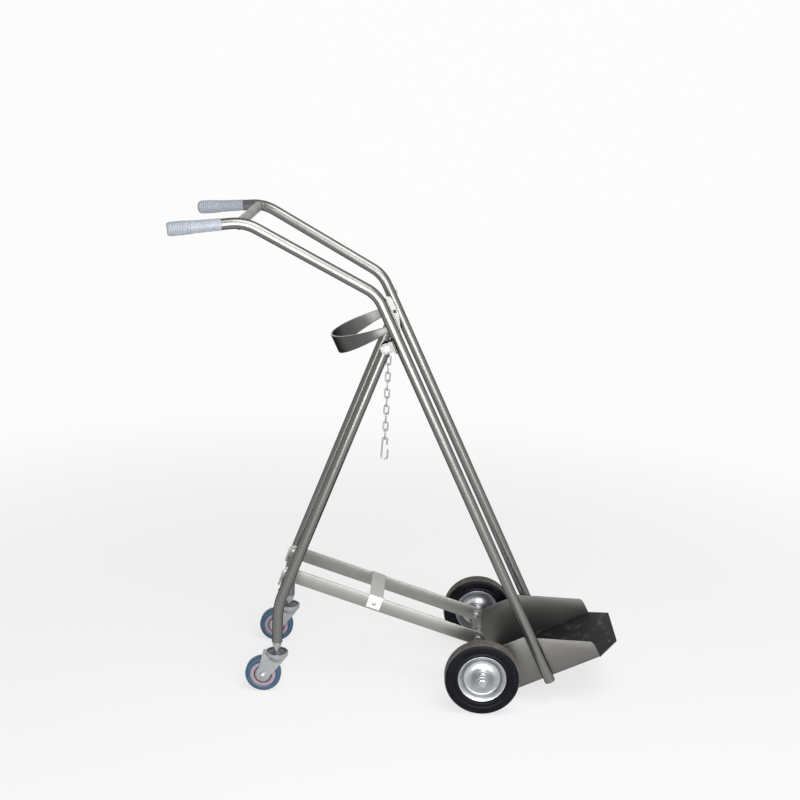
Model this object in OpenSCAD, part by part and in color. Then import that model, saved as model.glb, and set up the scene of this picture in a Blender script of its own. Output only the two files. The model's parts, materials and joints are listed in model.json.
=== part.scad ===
// Two-wheel trolley with a folding pair of castered support legs.
// Millimetres, +Z up, +X towards the toe plate, +Y to the left of the person pushing.
// Lengths along the tilted frame are given in its own plane: "forward" runs along the
// toe plate and "up" runs along the side tubes, from where a tube meets the tray underside.

/* [Frame] */
// Outer diameter of the bent side tubes
tube_d = 22; // [18:1:28]
// Wall of the side tubes and of the legs
tube_wall = 1.5; // [1:0.5:2.5]
// Lean of the side tubes from the vertical, in degrees
frame_tilt = 26.3; // [22:0.1:30]
// Distance up the side tube to its lower bend
bend_up = 889; // [855:1:960]
// Horizontal run of the upper diagonal
diagonal_run = 259; // [220:1:300]
// Rise of the upper diagonal
diagonal_rise = 133; // [110:1:160]
// Horizontal run from the upper bend to the tube's end
handle_run = 140; // [135:1:180]
// Drop of the handle towards its end
handle_drop = 16.5; // [5:0.5:30]
// Half spacing of the side tubes at the upper bend
apex_half = 154.5; // [145:0.5:175]
// Half spacing of the side tubes at the handle ends
handle_half = 183; // [175:1:200]
// Centre-line radius of the lower bend
lower_bend_r = 70; // [50:5:100]
// Centre-line radius of the upper bend
upper_bend_r = 85; // [60:5:110]
// Length of tube below the tray
tube_below = 4; // [2:1:12]
// Diameter of the cross tube between the handles
cross_tube_d = 20; // [16:1:22]

/* [Grips] */
// Length of a grip
grip_len = 103; // [90:1:115]
// Grip diameter at its open end
grip_d_open = 24.5; // [24:0.5:30]
// Grip diameter at its closed end
grip_d_closed = 27.5; // [26:0.5:36]
// Thickness of the grip's closed end
grip_end_wall = 4; // [3:1:8]
// Number of raised rings near the closed end
grip_rings = 9; // [4:1:12]

/* [Tray] */
// Diameter of the load that the trolley carries
load_d = 214; // [200:1:235]
// Side clearance between the load and the tray cheeks
load_gap = 5; // [3:0.5:10]
// Thickness of the tray sheet
sheet_t = 3; // [2:0.5:5]
// Tray underside to the axle, measured up the frame
axle_up = 82.5; // [76:0.5:96]
// Side tube to the axle, measured back along the tray
axle_back = 120; // [118:1:130]
// Height of the cheeks behind the side tubes
cheek_h = 104; // [100:1:120]
// Height of the cheeks at their front corner
cheek_nose_h = 42; // [30:1:60]
// Front edge of the cheeks ahead of the side tubes
cheek_front = 116.5; // [105:0.5:130]
// Front edge of the toe plate ahead of the side tubes
toe_front = 159; // [145:1:175]
// Size of the toe plate's cut corners
toe_chamfer = 42.5; // [30:0.5:42.5]
// Back edge of the tray floor behind the side tubes
floor_back = 111; // [104:1:114]

/* [Saddle] */
// Distance up the side tube to the middle of the saddle band
saddle_up = 816; // [785:1:825]
// Height of the saddle band at the tubes
saddle_h_front = 15; // [12:1:24]
// Height of the saddle band at its back
saddle_h_back = 41; // [26:1:44]
// Thickness of the saddle band
saddle_t = 4; // [3:0.5:6]
// Centre of the saddle's curve behind the side tubes
saddle_back = 20; // [10:1:30]

/* [Main wheels] */
// Outer diameter of a main wheel
wheel_d = 155; // [150:1:160]
// Width of a main wheel's tyre
tyre_w = 33; // [28:1:36]
// Diameter of the steel rim
rim_d = 101; // [90:1:108]
// Half spacing of the main wheels
wheel_half = 175; // [168:1:185]
// Diameter of the wheel hub
hub_d = 33; // [30:1:38]
// Length of the wheel hub
hub_len = 44; // [38:1:48]
// Diameter of the axle between the wheels
axle_d = 16; // [14:1:18]
// Diameter of the axle's threaded ends
axle_end_d = 12; // [10:1:12]
// Outer diameter of a wheel bearing
bearing_d = 26; // [24:1:26]
// Width of a wheel bearing
bearing_w = 8; // [6:1:10]

/* [Support legs] */
// Outer diameter of the legs
leg_d = 22; // [18:1:25]
// Leg pivot up the frame
leg_pivot_up = 786; // [740:1:786]
// Free gap between a leg's rounded top and its bracket
leg_top_gap = 2; // [1:0.5:6]
// Horizontal distance from the main axle back to the caster stems
caster_back = 429; // [410:1:460]
// Height of the bend above the caster
leg_bend_z = 190.5; // [180:0.5:220]
// Height of the lower end of a leg
leg_end_z = 110; // [106:1:118]
// Centre-line radius of the leg bend
leg_bend_r = 150; // [100:10:180]
// Diameter of the rod across the back of the legs
rod_d = 6; // [5:1:10]
// Height at which the rod crosses the legs
rod_z = 218.5; // [212:0.5:230]
// Distance of the rod behind the middle of the legs
rod_offset = 7.5; // [0:0.5:7.5]
// Thickness of the pivot bracket's plate
bracket_t = 3; // [2:0.5:4]
// Diameter of the pivot bolts
bolt_d = 8; // [6:1:8]

/* [Casters] */
// Outer diameter of a caster wheel
caster_d = 75; // [70:1:78]
// Width of a caster's tyre
caster_w = 21; // [18:1:23]
// Distance from the swivel axis back to the caster's axle
caster_trail = 27.5; // [25:0.5:32]
// Height of the underside of the fork crown
crown_z = 80.5; // [80:0.5:84]
// Diameter of the swivel head
head_d = 47; // [42:1:52]
// Thickness of the fork plate
fork_t = 2.5; // [2:0.5:3]
// Diameter of a caster's axle bolt
caster_axle_d = 8; // [6:1:8]

/* [Brace] */
// Depth of a brace bar
bar_h = 30; // [25:1:34]
// Thickness of a brace bar
bar_t = 3; // [2:0.5:4]
// Half spacing of the brace bars
bar_half = 65; // [55:1:70]
// Pivot of the brace behind the main axle
brace_pivot_back = 7.5; // [4:0.5:12]
// Pivot of the brace above the main axle
brace_pivot_up = 35.5; // [32:0.5:42]
// Distance along the bars from their pivot to the lift plate
lift_plate_at = 234; // [200:1:280]
// Width of the lift plate
lift_plate_w = 30; // [24:1:40]
// Thickness of the lift plate
lift_plate_t = 2; // [1.5:0.5:3]
// Thickness of a hook plate
hook_t = 4; // [3:0.5:5]

/* [Chain] */
// Number of links in the retaining chain
link_count = 17; // [10:1:20]
// Diameter of the chain wire
wire_d = 3.5; // [3:0.5:4]
// Outer length of a link
link_len = 26; // [24:0.5:30]
// Outer width of a link
link_w = 13; // [12:0.5:15]
// Height of the chain's pin, up the frame
chain_pin_up = 843; // [836:1:855]

/* [Hidden] */

$fn = 48;
right = -1;
left = 1;
// Gap between pieces that move past each other
run_gap = 0.3;
// Radial clearance of a shaft in its hole
shaft_gap = 0.05;
// Gap left between curved pieces that are welded or pressed together
seat_gap = 0.03;
// Amount by which bends are fuller than straights, so that the two overlap cleanly
bend_step = 0.05;

steel = [0.70, 0.70, 0.69];
dark_steel = [0.45, 0.45, 0.46];
zinc = [0.74, 0.76, 0.78];
rubber = [0.09, 0.10, 0.12];
caster_blue = [0.18, 0.38, 0.54];
core_grey = [0.60, 0.52, 0.58];
grip_white = [0.80, 0.83, 0.90];

tube_r = tube_d / 2;
leg_r = leg_d / 2;
rod_r = rod_d / 2;
wheel_r = wheel_d / 2;
rim_r = rim_d / 2;
axle_r = axle_d / 2;
bolt_r = bolt_d / 2;
caster_r = caster_d / 2;
head_r = head_d / 2;

tray_half = load_d / 2 + load_gap;
tube_half = tray_half + sheet_t + tube_r;

// Origin of the tilted frame, with the main axle above x = 0
c_tilt = cos(frame_tilt);
s_tilt = sin(frame_tilt);
frame_x = axle_back * c_tilt + axle_up * s_tilt;
frame_z = wheel_r + axle_back * s_tilt - axle_up * c_tilt;
function world(forward, y, up) =
  [frame_x + forward * c_tilt - up * s_tilt, y, frame_z + forward * s_tilt + up * c_tilt];

// Path of a side tube
function tube_path(side) =
  let (foot = world(0, side * tube_half, -tube_below))
  let (bend = world(0, side * tube_half, bend_up))
  let (apex = [bend.x - diagonal_run, side * apex_half, bend.z + diagonal_rise])
  [foot, bend, apex, [apex.x - handle_run, side * handle_half, apex.z - handle_drop]];
tube_bends = [lower_bend_r, upper_bend_r];

// Middle of the toe-to-grip length, which becomes x = 0
handle_dir = let (p = tube_path(left)) (p[3] - p[2]) / norm(p[3] - p[2]);
grip_r_end = grip_d_closed / 2;
grip_round = 4;
grip_reach = max([for (a = [0:15:90])
  abs(handle_dir.x) * (grip_end_wall - grip_round + grip_round * sin(a))
  + sqrt(1 - handle_dir.x * handle_dir.x) * (grip_r_end - grip_round + grip_round * cos(a))]);
x_back = tube_path(left)[3].x - grip_reach;
x_front = world(toe_front, 0, 0).x;
x_mid = (x_back + x_front) / 2;

// Leg bracket and pivot
ear_gap = 0.4;
bracket_half = leg_r + ear_gap + bracket_t;
bracket_front = tube_r + seat_gap;
leg_pivot_back = bracket_front + bracket_t + leg_r + leg_top_gap;
ear_r = 11;
bracket_below = 18;
leg_pivot = world(-leg_pivot_back, 0, leg_pivot_up);
leg_lean = atan2(caster_back + leg_pivot.x, leg_pivot.z - leg_bend_z);
bolt_head_h = 4.4;
bolt_head_d = 1.75 * bolt_d;
nut_h = 0.8 * bolt_d;
nut_af = 1.625 * bolt_d;
bolt_past_nut = 2;
washer_t = 1.6;

// Rod between the legs
rod_axis = [
  -caster_back + (rod_z - leg_bend_z) * tan(leg_lean) - rod_offset * cos(leg_lean),
  rod_z + rod_offset * sin(leg_lean)];

// Brace bars, pivoted above the axle and lying on the rod
brace_pivot = [-brace_pivot_back, wheel_r + brace_pivot_up];
rod_reach = norm([brace_pivot.x - rod_axis.x, rod_axis.y - brace_pivot.y]);
rod_drop = bar_h / 2 + rod_r + run_gap;
brace_angle = atan2(rod_axis.y - brace_pivot.y, brace_pivot.x - rod_axis.x)
  + asin(rod_drop / rod_reach);
rod_along = sqrt(rod_reach * rod_reach - rod_drop * rod_drop);
bar_out = bar_half + bar_t / 2;
bar_in = bar_half - bar_t / 2;
bar_tail = rod_along + 4;
rivet_r = 2.5;
rivet_head_r = 4.5;
rivet_head_h = 1.5;
hook_rivets = [rod_along - 13, rod_along - 2];
lug_t = 4;

// Axle and its stack of parts, as distances from the middle
cheek_out = tray_half + sheet_t;
hub_in = wheel_half - hub_len / 2;
hub_out = wheel_half + hub_len / 2;
axle_step = hub_in - run_gap;
spacer_r = axle_r + 3;
axle_washer_t = 2;
axle_washer_r = 11.5;
axle_nut_h = 0.8 * axle_end_d;
axle_nut_af = 1.5 * axle_end_d;
axle_end = hub_out + run_gap + axle_washer_t + axle_nut_h + 3.5;
bearing_inset = 1.5;

// Caster levels
race_top = crown_z + 7.5;
race_floor = crown_z + 3;
hex_bottom = race_top + 3;
hex_af = 13;
socket_flange = 7;
socket_d = 19.5;
socket_plug = 16;
stem_r = 5;
stem_head_r = 8.5;
stem_head_h = 3;
stem_thread = 14;
fork_in = caster_w / 2 + 2.3;
fork_out = fork_in + fork_t;
fork_end_r = 12;
core_half = fork_in - 0.8;
core_r = 0.715 * caster_r;
ring_out_r = 0.507 * caster_r;
ring_in_r = 0.45 * caster_r;
ring_depth = 1;
bush_r = 0.44 * caster_r;

// Chain
wire_r = wire_d / 2;
ring_wire_r = 2;
ring_r = 11;
pin_r = 4;
pin_head_r = 8;
pin_head_t = 3;
chain_gap = 0.25;
nut_side = tube_half + bracket_half + washer_t + nut_h + bolt_past_nut;
chain_y = nut_side + link_w / 2 + 4;
pin_end = chain_y + 6;
chain_pin = world(0, chain_y, chain_pin_up);
ring_z = chain_pin.z - (ring_r - ring_wire_r - pin_r - chain_gap);
first_link_z = ring_z - ring_r + ring_wire_r + wire_r + chain_gap;
link_rise = link_len - wire_d;
link_pitch = link_rise - wire_d - chain_gap;
hook_wire_r = 2;
hook_len = 54;
hook_eye_half = 5;
hook_bowl_half = 7;
hook_mouth = [16, 28];
hook_z = first_link_z - (link_count - 1) * link_pitch - link_rise + wire_r + hook_wire_r + chain_gap;

// Places the whole object with its bounding box centred on x = 0
module place() {
  translate([-x_mid, 0, 0]) children();
}

// Turns the frame's forward and up into x and z
module in_frame() {
  translate([frame_x, 0, frame_z]) rotate([0, -frame_tilt, 0]) children();
}

// Turns distances back along the brace bars into negative x
module in_brace() {
  translate([brace_pivot.x, 0, brace_pivot.y]) rotate([0, brace_angle, 0]) children();
}

// Solid of revolution about the y axis, its profile drawn as radius and y
module spin_y() {
  rotate([-90, 0, 0]) rotate_extrude($fn = 96) children();
}

// Pin along y from one y to another
module pin_y(r, y0, y1) {
  translate([0, min(y0, y1), 0]) rotate([-90, 0, 0]) cylinder(r = r, h = abs(y1 - y0));
}

// Hexagon prism along y from one y to another
module hex_y(af, y0, y1) {
  translate([0, min(y0, y1), 0]) rotate([-90, 0, 0])
    cylinder(r = af / 2 / cos(30), h = abs(y1 - y0), $fn = 6);
}

// Plate standing in the x-z plane between two y values, its outline drawn as x and z
module plate_y(y0, y1) {
  translate([0, max(y0, y1), 0]) rotate([90, 0, 0]) linear_extrude(abs(y1 - y0)) children();
}

// Straight round bar between two points
module bar_between(a, b, r) {
  d = b - a;
  translate(a) rotate([0, acos(d.z / norm(d)), atan2(d.y, d.x)]) cylinder(r = r, h = norm(d));
}

function unit(v) = v / norm(v);
// Distance from a corner to where its bend starts
function bend_cut(a, b, c, bend_r) = bend_r * tan(acos(unit(b - a) * unit(c - b)) / 2);

// Round bend at corner b of the path a, b, c
module bend_at(a, b, c, bend_r, r) {
  d1 = unit(b - a);
  d2 = unit(c - b);
  turn = acos(d1 * d2);
  inward = unit(d2 - (d1 * d2) * d1);
  out = -inward;
  axis = cross(out, d1);
  centre = b - d1 * bend_cut(a, b, c, bend_r) + inward * bend_r;
  multmatrix([[out.x, d1.x, axis.x, centre.x], [out.y, d1.y, axis.y, centre.y],
      [out.z, d1.z, axis.z, centre.z]])
    rotate_extrude(angle = turn) translate([bend_r, 0]) circle(r = r);
}

// Round bar along a path of points with a bend at each inner point. The straights run
// a little way into the bends, no further than they stay inside them.
module bent_bar(points, bends, r) {
  last = len(points) - 1;
  ends = [for (i = [0:last]) i == 0 || i == last ? 0
    : bend_cut(points[i - 1], points[i], points[i + 1], bends[i - 1])
      - 0.5 * sqrt(2 * bends[i - 1] * bend_step)];
  for (i = [0:last - 1]) {
    d = unit(points[i + 1] - points[i]);
    bar_between(points[i] + d * ends[i], points[i + 1] - d * ends[i + 1], r - bend_step);
  }
  for (i = [1:last - 1]) bend_at(points[i - 1], points[i], points[i + 1], bends[i - 1], r);
}

// Path with both ends drawn out, for the hollow inside a tube
function drawn_out(points, by) =
  let (last = len(points) - 1)
  [for (i = [0:last])
    i == 0 ? points[0] - unit(points[1] - points[0]) * by
    : i == last ? points[last] + unit(points[last] - points[last - 1]) * by
    : points[i]];

module side_tube(side) {
  color(steel) place() difference() {
    bent_bar(tube_path(side), tube_bends, tube_r);
    bent_bar(drawn_out(tube_path(side), 1), tube_bends, tube_r - tube_wall);
  }
}

// Joins the side tubes just behind their upper bends
module handle_cross_tube() {
  cross_r = cross_tube_d / 2;
  path = tube_path(left);
  at = path[2] + handle_dir * upper_bend_r * 0.12 - [0, 0, 2];
  color(steel) place() difference() {
    translate([at.x, 0, at.z]) pin_y(cross_r, -apex_half, apex_half);
    translate([at.x, 0, at.z])
      pin_y(cross_r - tube_wall, -apex_half - 1, apex_half + 1);
    for (side = [right, left]) bent_bar(tube_path(side), tube_bends, tube_r + seat_gap);
  }
}

// Sleeve with a closed, rounded end and a run of raised rings
module grip(side) {
  end = tube_path(side)[3];
  d = unit(end - tube_path(side)[2]);
  open_r = grip_d_open / 2;
  bore_r = tube_r + seat_gap;
  z_open = grip_end_wall - grip_len;
  ring_pitch = 4.7;
  ring_lift = 0.5;
  ring_start = grip_end_wall - grip_round - 3;
  taper = (grip_r_end - open_r) / (grip_len - grip_round);
  color(grip_white) place() translate(end) rotate([0, acos(d.z), atan2(d.y, d.x)]) difference() {
    rotate_extrude($fn = 96) polygon(concat(
      [[0, z_open], [open_r, z_open]],
      [for (i = [grip_rings - 1:-1:0]) let (z = ring_start - i * ring_pitch)
        let (r = grip_r_end - taper * (grip_end_wall - grip_round - z))
        each [[r, z - 1.6], [r + ring_lift, z - 0.8], [r + ring_lift, z + 0.8], [r, z + 1.6]]],
      [for (a = [0:15:90]) [grip_r_end - grip_round + grip_round * cos(a),
        grip_end_wall - grip_round + grip_round * sin(a)]],
      [[0, grip_end_wall]]));
    translate([0, 0, z_open - 1]) cylinder(r = bore_r, h = grip_len + 1 - grip_end_wall + seat_gap);
  }
}

// Half ring that backs the load, with short arms welded to the tubes. It is tallest at
// its back.
module saddle_band() {
  outer = tray_half + sheet_t;
  inner = outer - saddle_t;
  front = saddle_h_front / 2;
  back = saddle_h_back / 2;
  color(steel) place() in_frame() translate([-saddle_back, 0, saddle_up]) intersection() {
    translate([0, 0, -back]) union() {
      rotate([0, 0, 90]) rotate_extrude(angle = 180, $fn = 128)
        translate([inner, 0]) square([saddle_t, saddle_h_back]);
      for (side = [right, left])
        translate([0, side < 0 ? -outer : inner, 0]) cube([saddle_back, saddle_t, saddle_h_back]);
    }
    plate_y(-outer - 1, outer + 1) polygon([
      [saddle_back, -front], [0, -front], [-outer - 1, -back],
      [-outer - 1, back], [0, front], [saddle_back, front]]);
  }
}

// Outline of a cheek in forward and up
module cheek_outline() {
  back = axle_back + 18;
  slope_start = -15;
  nose_r = 9;
  heel_up = 62;
  difference() {
    polygon([
      [-floor_back, 0], [cheek_front, 0],
      [cheek_front - 0.12 * nose_r, cheek_nose_h - 1.5 * nose_r],
      [cheek_front - 0.35 * nose_r, cheek_nose_h - 0.7 * nose_r],
      [cheek_front - 0.7 * nose_r, cheek_nose_h - 0.2 * nose_r],
      [cheek_front - 1.2 * nose_r, cheek_nose_h],
      [slope_start, cheek_h], [-back + 8, cheek_h], [-back, cheek_h - 8], [-back, heel_up]]);
    translate([-axle_back, axle_up]) circle(r = axle_r + shaft_gap);
  }
}

// Folded sheet: floor with a cut-cornered toe and a cheek on each side
module tray() {
  outer = tray_half + sheet_t;
  color(steel) place() in_frame() {
    linear_extrude(sheet_t) polygon([
      [-floor_back, -outer], [toe_front - toe_chamfer, -outer],
      [toe_front, -outer + toe_chamfer], [toe_front, outer - toe_chamfer],
      [toe_front - toe_chamfer, outer], [-floor_back, outer]]);
    plate_y(tray_half, outer) cheek_outline();
    plate_y(-outer, -tray_half) cheek_outline();
  }
}

// Plate on the front of the right tube with a hole for the chain hook
module chain_hook_plate() {
  reach = tube_r + 12.5;
  low = saddle_up - 12;
  high = low + 76;
  hole_up = low + 42;
  plate_t = 4;
  color(steel) place() in_frame() plate_y(-tube_half - plate_t / 2, -tube_half + plate_t / 2)
    difference() {
      polygon([[tube_r + seat_gap, low], [tube_r + 1.5, low], [reach, low + 34], [reach, high - 10],
        [reach - 2, high - 4], [reach - 6, high - 1], [reach - 9, high], [tube_r + seat_gap, high - 3]]);
      translate([tube_r + 7, hole_up]) circle(r = 3.5);
    }
}

// Headed pin on the outer side of the left tube
module chain_anchor_pin() {
  color(zinc) place() difference() {
    translate([chain_pin.x, 0, chain_pin.z]) {
      pin_y(pin_r, tube_half, pin_end);
      pin_y(pin_head_r, pin_end, pin_end + pin_head_t);
    }
    in_frame() translate([0, tube_half, 0]) cylinder(r = tube_r + seat_gap, h = bend_up);
  }
}

// Folded bracket behind a side tube: a back plate and two ears
module leg_bracket(side) {
  low = leg_pivot_up - bracket_below;
  high = leg_pivot_up + ear_r - 1;
  color(steel) place() in_frame() translate([0, side * tube_half, 0]) {
    translate([-bracket_front - bracket_t, -bracket_half, low])
      cube([bracket_t, 2 * bracket_half, high - low]);
    for (ear = [-1, 1]) plate_y(ear * (bracket_half - bracket_t), ear * bracket_half)
      difference() {
        union() {
          translate([-leg_pivot_back, leg_pivot_up]) circle(r = ear_r);
          translate([-leg_pivot_back, leg_pivot_up - ear_r])
            square([leg_pivot_back - bracket_front - bracket_t, 2 * ear_r - 1]);
        }
        translate([-leg_pivot_back, leg_pivot_up]) circle(r = bolt_r + shaft_gap);
      }
  }
}

// Shank and low head, the head on the inner side
module leg_pivot_bolts() {
  inner = tube_half - bracket_half;
  color(zinc) place() for (side = [right, left]) translate([leg_pivot.x, 0, leg_pivot.z]) {
    pin_y(bolt_r, side * (inner - seat_gap), side * nut_side);
    pin_y(bolt_head_d / 2, side * (inner - seat_gap), side * (inner - seat_gap - bolt_head_h));
  }
}

module leg_pivot_nuts() {
  face = tube_half + bracket_half + seat_gap;
  color(zinc) place() for (side = [right, left]) translate([leg_pivot.x, 0, leg_pivot.z])
    difference() {
      union() {
        pin_y(bolt_head_d / 2 + 1, side * face, side * (face + washer_t));
        hex_y(nut_af, side * (face + washer_t), side * (face + washer_t + nut_h));
      }
      pin_y(bolt_r + seat_gap, side * (face - 1), side * (nut_side + 1));
    }
}

// Stepped axle with threaded ends
module main_axle() {
  color(zinc) place() translate([0, 0, wheel_r]) {
    pin_y(axle_r, -axle_step, axle_step);
    for (side = [right, left]) pin_y(axle_end_d / 2, side * axle_step, side * axle_end);
  }
}

module axle_spacers() {
  color(zinc) place() translate([0, 0, wheel_r]) for (side = [right, left]) difference() {
    pin_y(spacer_r, side * (cheek_out + seat_gap), side * axle_step);
    pin_y(axle_r + seat_gap, side * cheek_out, side * hub_out);
  }
}

module axle_washers() {
  face = hub_out + run_gap;
  color(zinc) place() translate([0, 0, wheel_r]) for (side = [right, left]) difference() {
    pin_y(axle_washer_r, side * face, side * (face + axle_washer_t));
    pin_y(axle_end_d / 2 + seat_gap, side * hub_out, side * axle_end);
  }
}

module axle_nuts() {
  face = hub_out + run_gap + axle_washer_t;
  color(zinc) place() translate([0, 0, wheel_r]) for (side = [right, left]) difference() {
    hex_y(axle_nut_af, side * (face + seat_gap), side * (face + axle_nut_h));
    pin_y(axle_end_d / 2 + seat_gap, side * hub_out, side * axle_end);
  }
}

// Strap welded on the axle that carries a brace bar
module brace_lug(side) {
  lug_out = bar_in - run_gap;
  foot_r = axle_r + 5;
  head = 11;
  strap = head - 0.5;
  lean = atan2(brace_pivot_up, -brace_pivot_back);
  across = [sin(lean), -cos(lean)];
  top = [-brace_pivot_back, brace_pivot_up];
  color(steel) place() translate([0, 0, wheel_r]) plate_y(side * (lug_out - lug_t), side * lug_out)
    difference() {
      union() {
        circle(r = foot_r);
        translate(top) circle(r = head);
        polygon([across * strap, top + across * strap, top - across * strap, -across * strap]);
      }
      circle(r = axle_r + seat_gap);
      translate(top) circle(r = bolt_r + seat_gap);
    }
}

module brace_pivot_bolts() {
  head_face = bar_out + run_gap;
  tip = bar_in - run_gap - lug_t - nut_h - bolt_past_nut;
  color(zinc) place() translate([brace_pivot.x, 0, brace_pivot.y]) for (side = [right, left]) {
    pin_y(bolt_r, side * tip, side * head_face);
    hex_y(nut_af, side * head_face, side * (head_face + 0.66 * bolt_d));
  }
}

module brace_pivot_nuts() {
  face = bar_in - run_gap - lug_t - seat_gap;
  color(zinc) place() translate([brace_pivot.x, 0, brace_pivot.y]) for (side = [right, left])
    difference() {
      hex_y(nut_af, side * face, side * (face - nut_h));
      pin_y(bolt_r + seat_gap, side * (face + 1), side * (face - nut_h - 1));
    }
}

// Path of a leg down to the caster, from a little way into its rounded top
cap_lap = 0.5;
function leg_path(side) = [
  [leg_pivot.x + cap_lap * sin(leg_lean), side * tube_half, leg_pivot.z + cap_lap * cos(leg_lean)],
  [-caster_back, side * tube_half, leg_bend_z],
  [-caster_back, side * tube_half, leg_end_z]];

// Tube with a rounded, closed top that turns on the pivot bolt
module leg(side) {
  pivot = [leg_pivot.x, side * tube_half, leg_pivot.z];
  cap_t = 3;
  color(steel) place() difference() {
    union() {
      bent_bar(leg_path(side), [leg_bend_r], leg_r);
      intersection() {
        translate(pivot) rotate([0, leg_lean, 0]) cylinder(r = leg_r, h = leg_r + 1);
        translate([pivot.x, 0, pivot.z])
          pin_y(leg_r, pivot.y - leg_r - 1, pivot.y + leg_r + 1);
      }
    }
    bent_bar(drawn_out(leg_path(side), cap_t), [leg_bend_r], leg_r - tube_wall);
    translate([pivot.x, 0, pivot.z])
      pin_y(bolt_r + shaft_gap, pivot.y - leg_r - 1, pivot.y + leg_r + 1);
  }
}

module leg_rod() {
  color(dark_steel) place() difference() {
    translate([rod_axis.x, 0, rod_axis.y]) pin_y(rod_r, -tube_half, tube_half);
    for (side = [right, left]) bent_bar(leg_path(side), [leg_bend_r], leg_r + seat_gap);
  }
}

// Flanged plug in the lower end of each leg, tapped for the caster stem
module leg_sockets() {
  color(zinc) place() for (side = [right, left])
    translate([-caster_back, side * tube_half, leg_end_z]) difference() {
      union() {
        translate([0, 0, -socket_flange]) cylinder(d = socket_d, h = socket_flange);
        cylinder(r = leg_r - tube_wall - bend_step - seat_gap, h = socket_plug);
      }
      translate([0, 0, -socket_flange - 1])
        cylinder(r = stem_r + seat_gap, h = socket_flange + socket_plug + 2);
    }
}

// Stem with a riveted lower head, a hexagon and a threaded upper end
module caster_stems() {
  hex_top = leg_end_z - socket_flange;
  color(zinc) place() for (side = [right, left]) translate([-caster_back, side * tube_half, 0]) {
    translate([0, 0, crown_z - run_gap - stem_head_h]) cylinder(r = stem_head_r, h = stem_head_h);
    translate([0, 0, crown_z - run_gap]) cylinder(r = stem_r, h = hex_bottom - crown_z + run_gap);
    translate([0, 0, hex_bottom]) cylinder(r = hex_af / 2 / cos(30), h = hex_top - hex_bottom, $fn = 6);
    translate([0, 0, hex_top]) cylinder(r = stem_r, h = stem_thread);
  }
}

// Upper race, fixed on the stem inside the swivel head
module caster_top_races() {
  color(dark_steel) place() for (side = [right, left])
    translate([-caster_back, side * tube_half, race_floor + run_gap]) difference() {
      union() {
        cylinder(r = head_r - 4, h = 2.5);
        translate([0, 0, 2.5]) cylinder(r1 = head_r - 8, r2 = stem_r + 3, h = hex_bottom - race_floor - run_gap - 2.5);
      }
      translate([0, 0, -1]) cylinder(r = stem_r + seat_gap, h = hex_bottom - race_floor + 2);
    }
}

// Bar with a round front end, drawn back from its pivot
module brace_bar(side) {
  color(steel) place() in_brace() plate_y(side * bar_in, side * bar_out) difference() {
    union() {
      circle(r = bar_h / 2);
      translate([-bar_tail, -bar_h / 2]) square([bar_tail, bar_h]);
    }
    circle(r = bolt_r + shaft_gap);
    for (at = concat(hook_rivets, [lift_plate_at])) translate([-at, 0]) circle(r = rivet_r + seat_gap);
  }
}

// Plate riveted to a bar's rear end that reaches down behind the rod
module brace_hook(side) {
  prong_in = rod_along + rod_r + 0.5;
  prong_out = prong_in + 5;
  prong_low = -rod_drop - rod_r - 7;
  front_r = 10;
  back_r = 8;
  tip_r = 2.4;
  front = hook_rivets[0];
  color(zinc) place() in_brace()
    plate_y(side * (bar_out + seat_gap), side * (bar_out + seat_gap + hook_t)) difference() {
      union() {
        translate([-front, 0]) circle(r = front_r);
        translate([-prong_in - 0.1, -front_r]) square([prong_in + 0.1 - front, front_r + 2]);
        translate([-prong_out + back_r, 0]) square([prong_out - back_r - front, front_r]);
        translate([-prong_out + back_r, front_r - back_r]) circle(r = back_r);
        translate([-prong_out, prong_low + tip_r]) square([prong_out - prong_in, front_r - back_r - prong_low - tip_r]);
        translate([-prong_in - tip_r, prong_low + tip_r]) circle(r = tip_r);
      }
      for (at = hook_rivets) translate([-at, 0]) circle(r = rivet_r + seat_gap);
    }
}

// Channel across both bars that lifts the brace
module brace_lift_plate() {
  flange_in = bar_out + seat_gap;
  flange_out = flange_in + lift_plate_t;
  top = bar_h / 2 + seat_gap;
  flange_low = -bar_h / 2 + 4;
  color(steel) place() in_brace() translate([-lift_plate_at, 0, 0]) {
    translate([-lift_plate_w / 2, -flange_out, top])
      cube([lift_plate_w, 2 * flange_out, lift_plate_t]);
    for (side = [right, left]) difference() {
      translate([-lift_plate_w / 2, side < 0 ? -flange_out : flange_in, flange_low])
        cube([lift_plate_w, lift_plate_t, top - flange_low]);
      pin_y(rivet_r + seat_gap, side * (flange_in - 1), side * (flange_out + 1));
    }
  }
}

// Rivets of the hook plates and of the lift plate
module rivet(side, at, plate_t) {
  head_in = bar_in - seat_gap;
  head_out = bar_out + 2 * seat_gap + plate_t;
  translate([-at, 0, 0]) {
    pin_y(rivet_r, side * head_in, side * head_out);
    pin_y(rivet_head_r, side * head_in, side * (head_in - rivet_head_h));
    pin_y(rivet_head_r, side * head_out, side * (head_out + rivet_head_h));
  }
}
module brace_rivets() {
  color(zinc) place() in_brace() for (side = [right, left]) {
    for (at = hook_rivets) rivet(side, at, hook_t);
    rivet(side, lift_plate_at, lift_plate_t);
  }
}

// Puts a wheel drawn about the origin, with its outer face towards +y, on one side
module at_wheel(side) {
  place() translate([0, side * wheel_half, wheel_r]) mirror([0, side < 0 ? 1 : 0, 0]) children();
}

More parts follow.
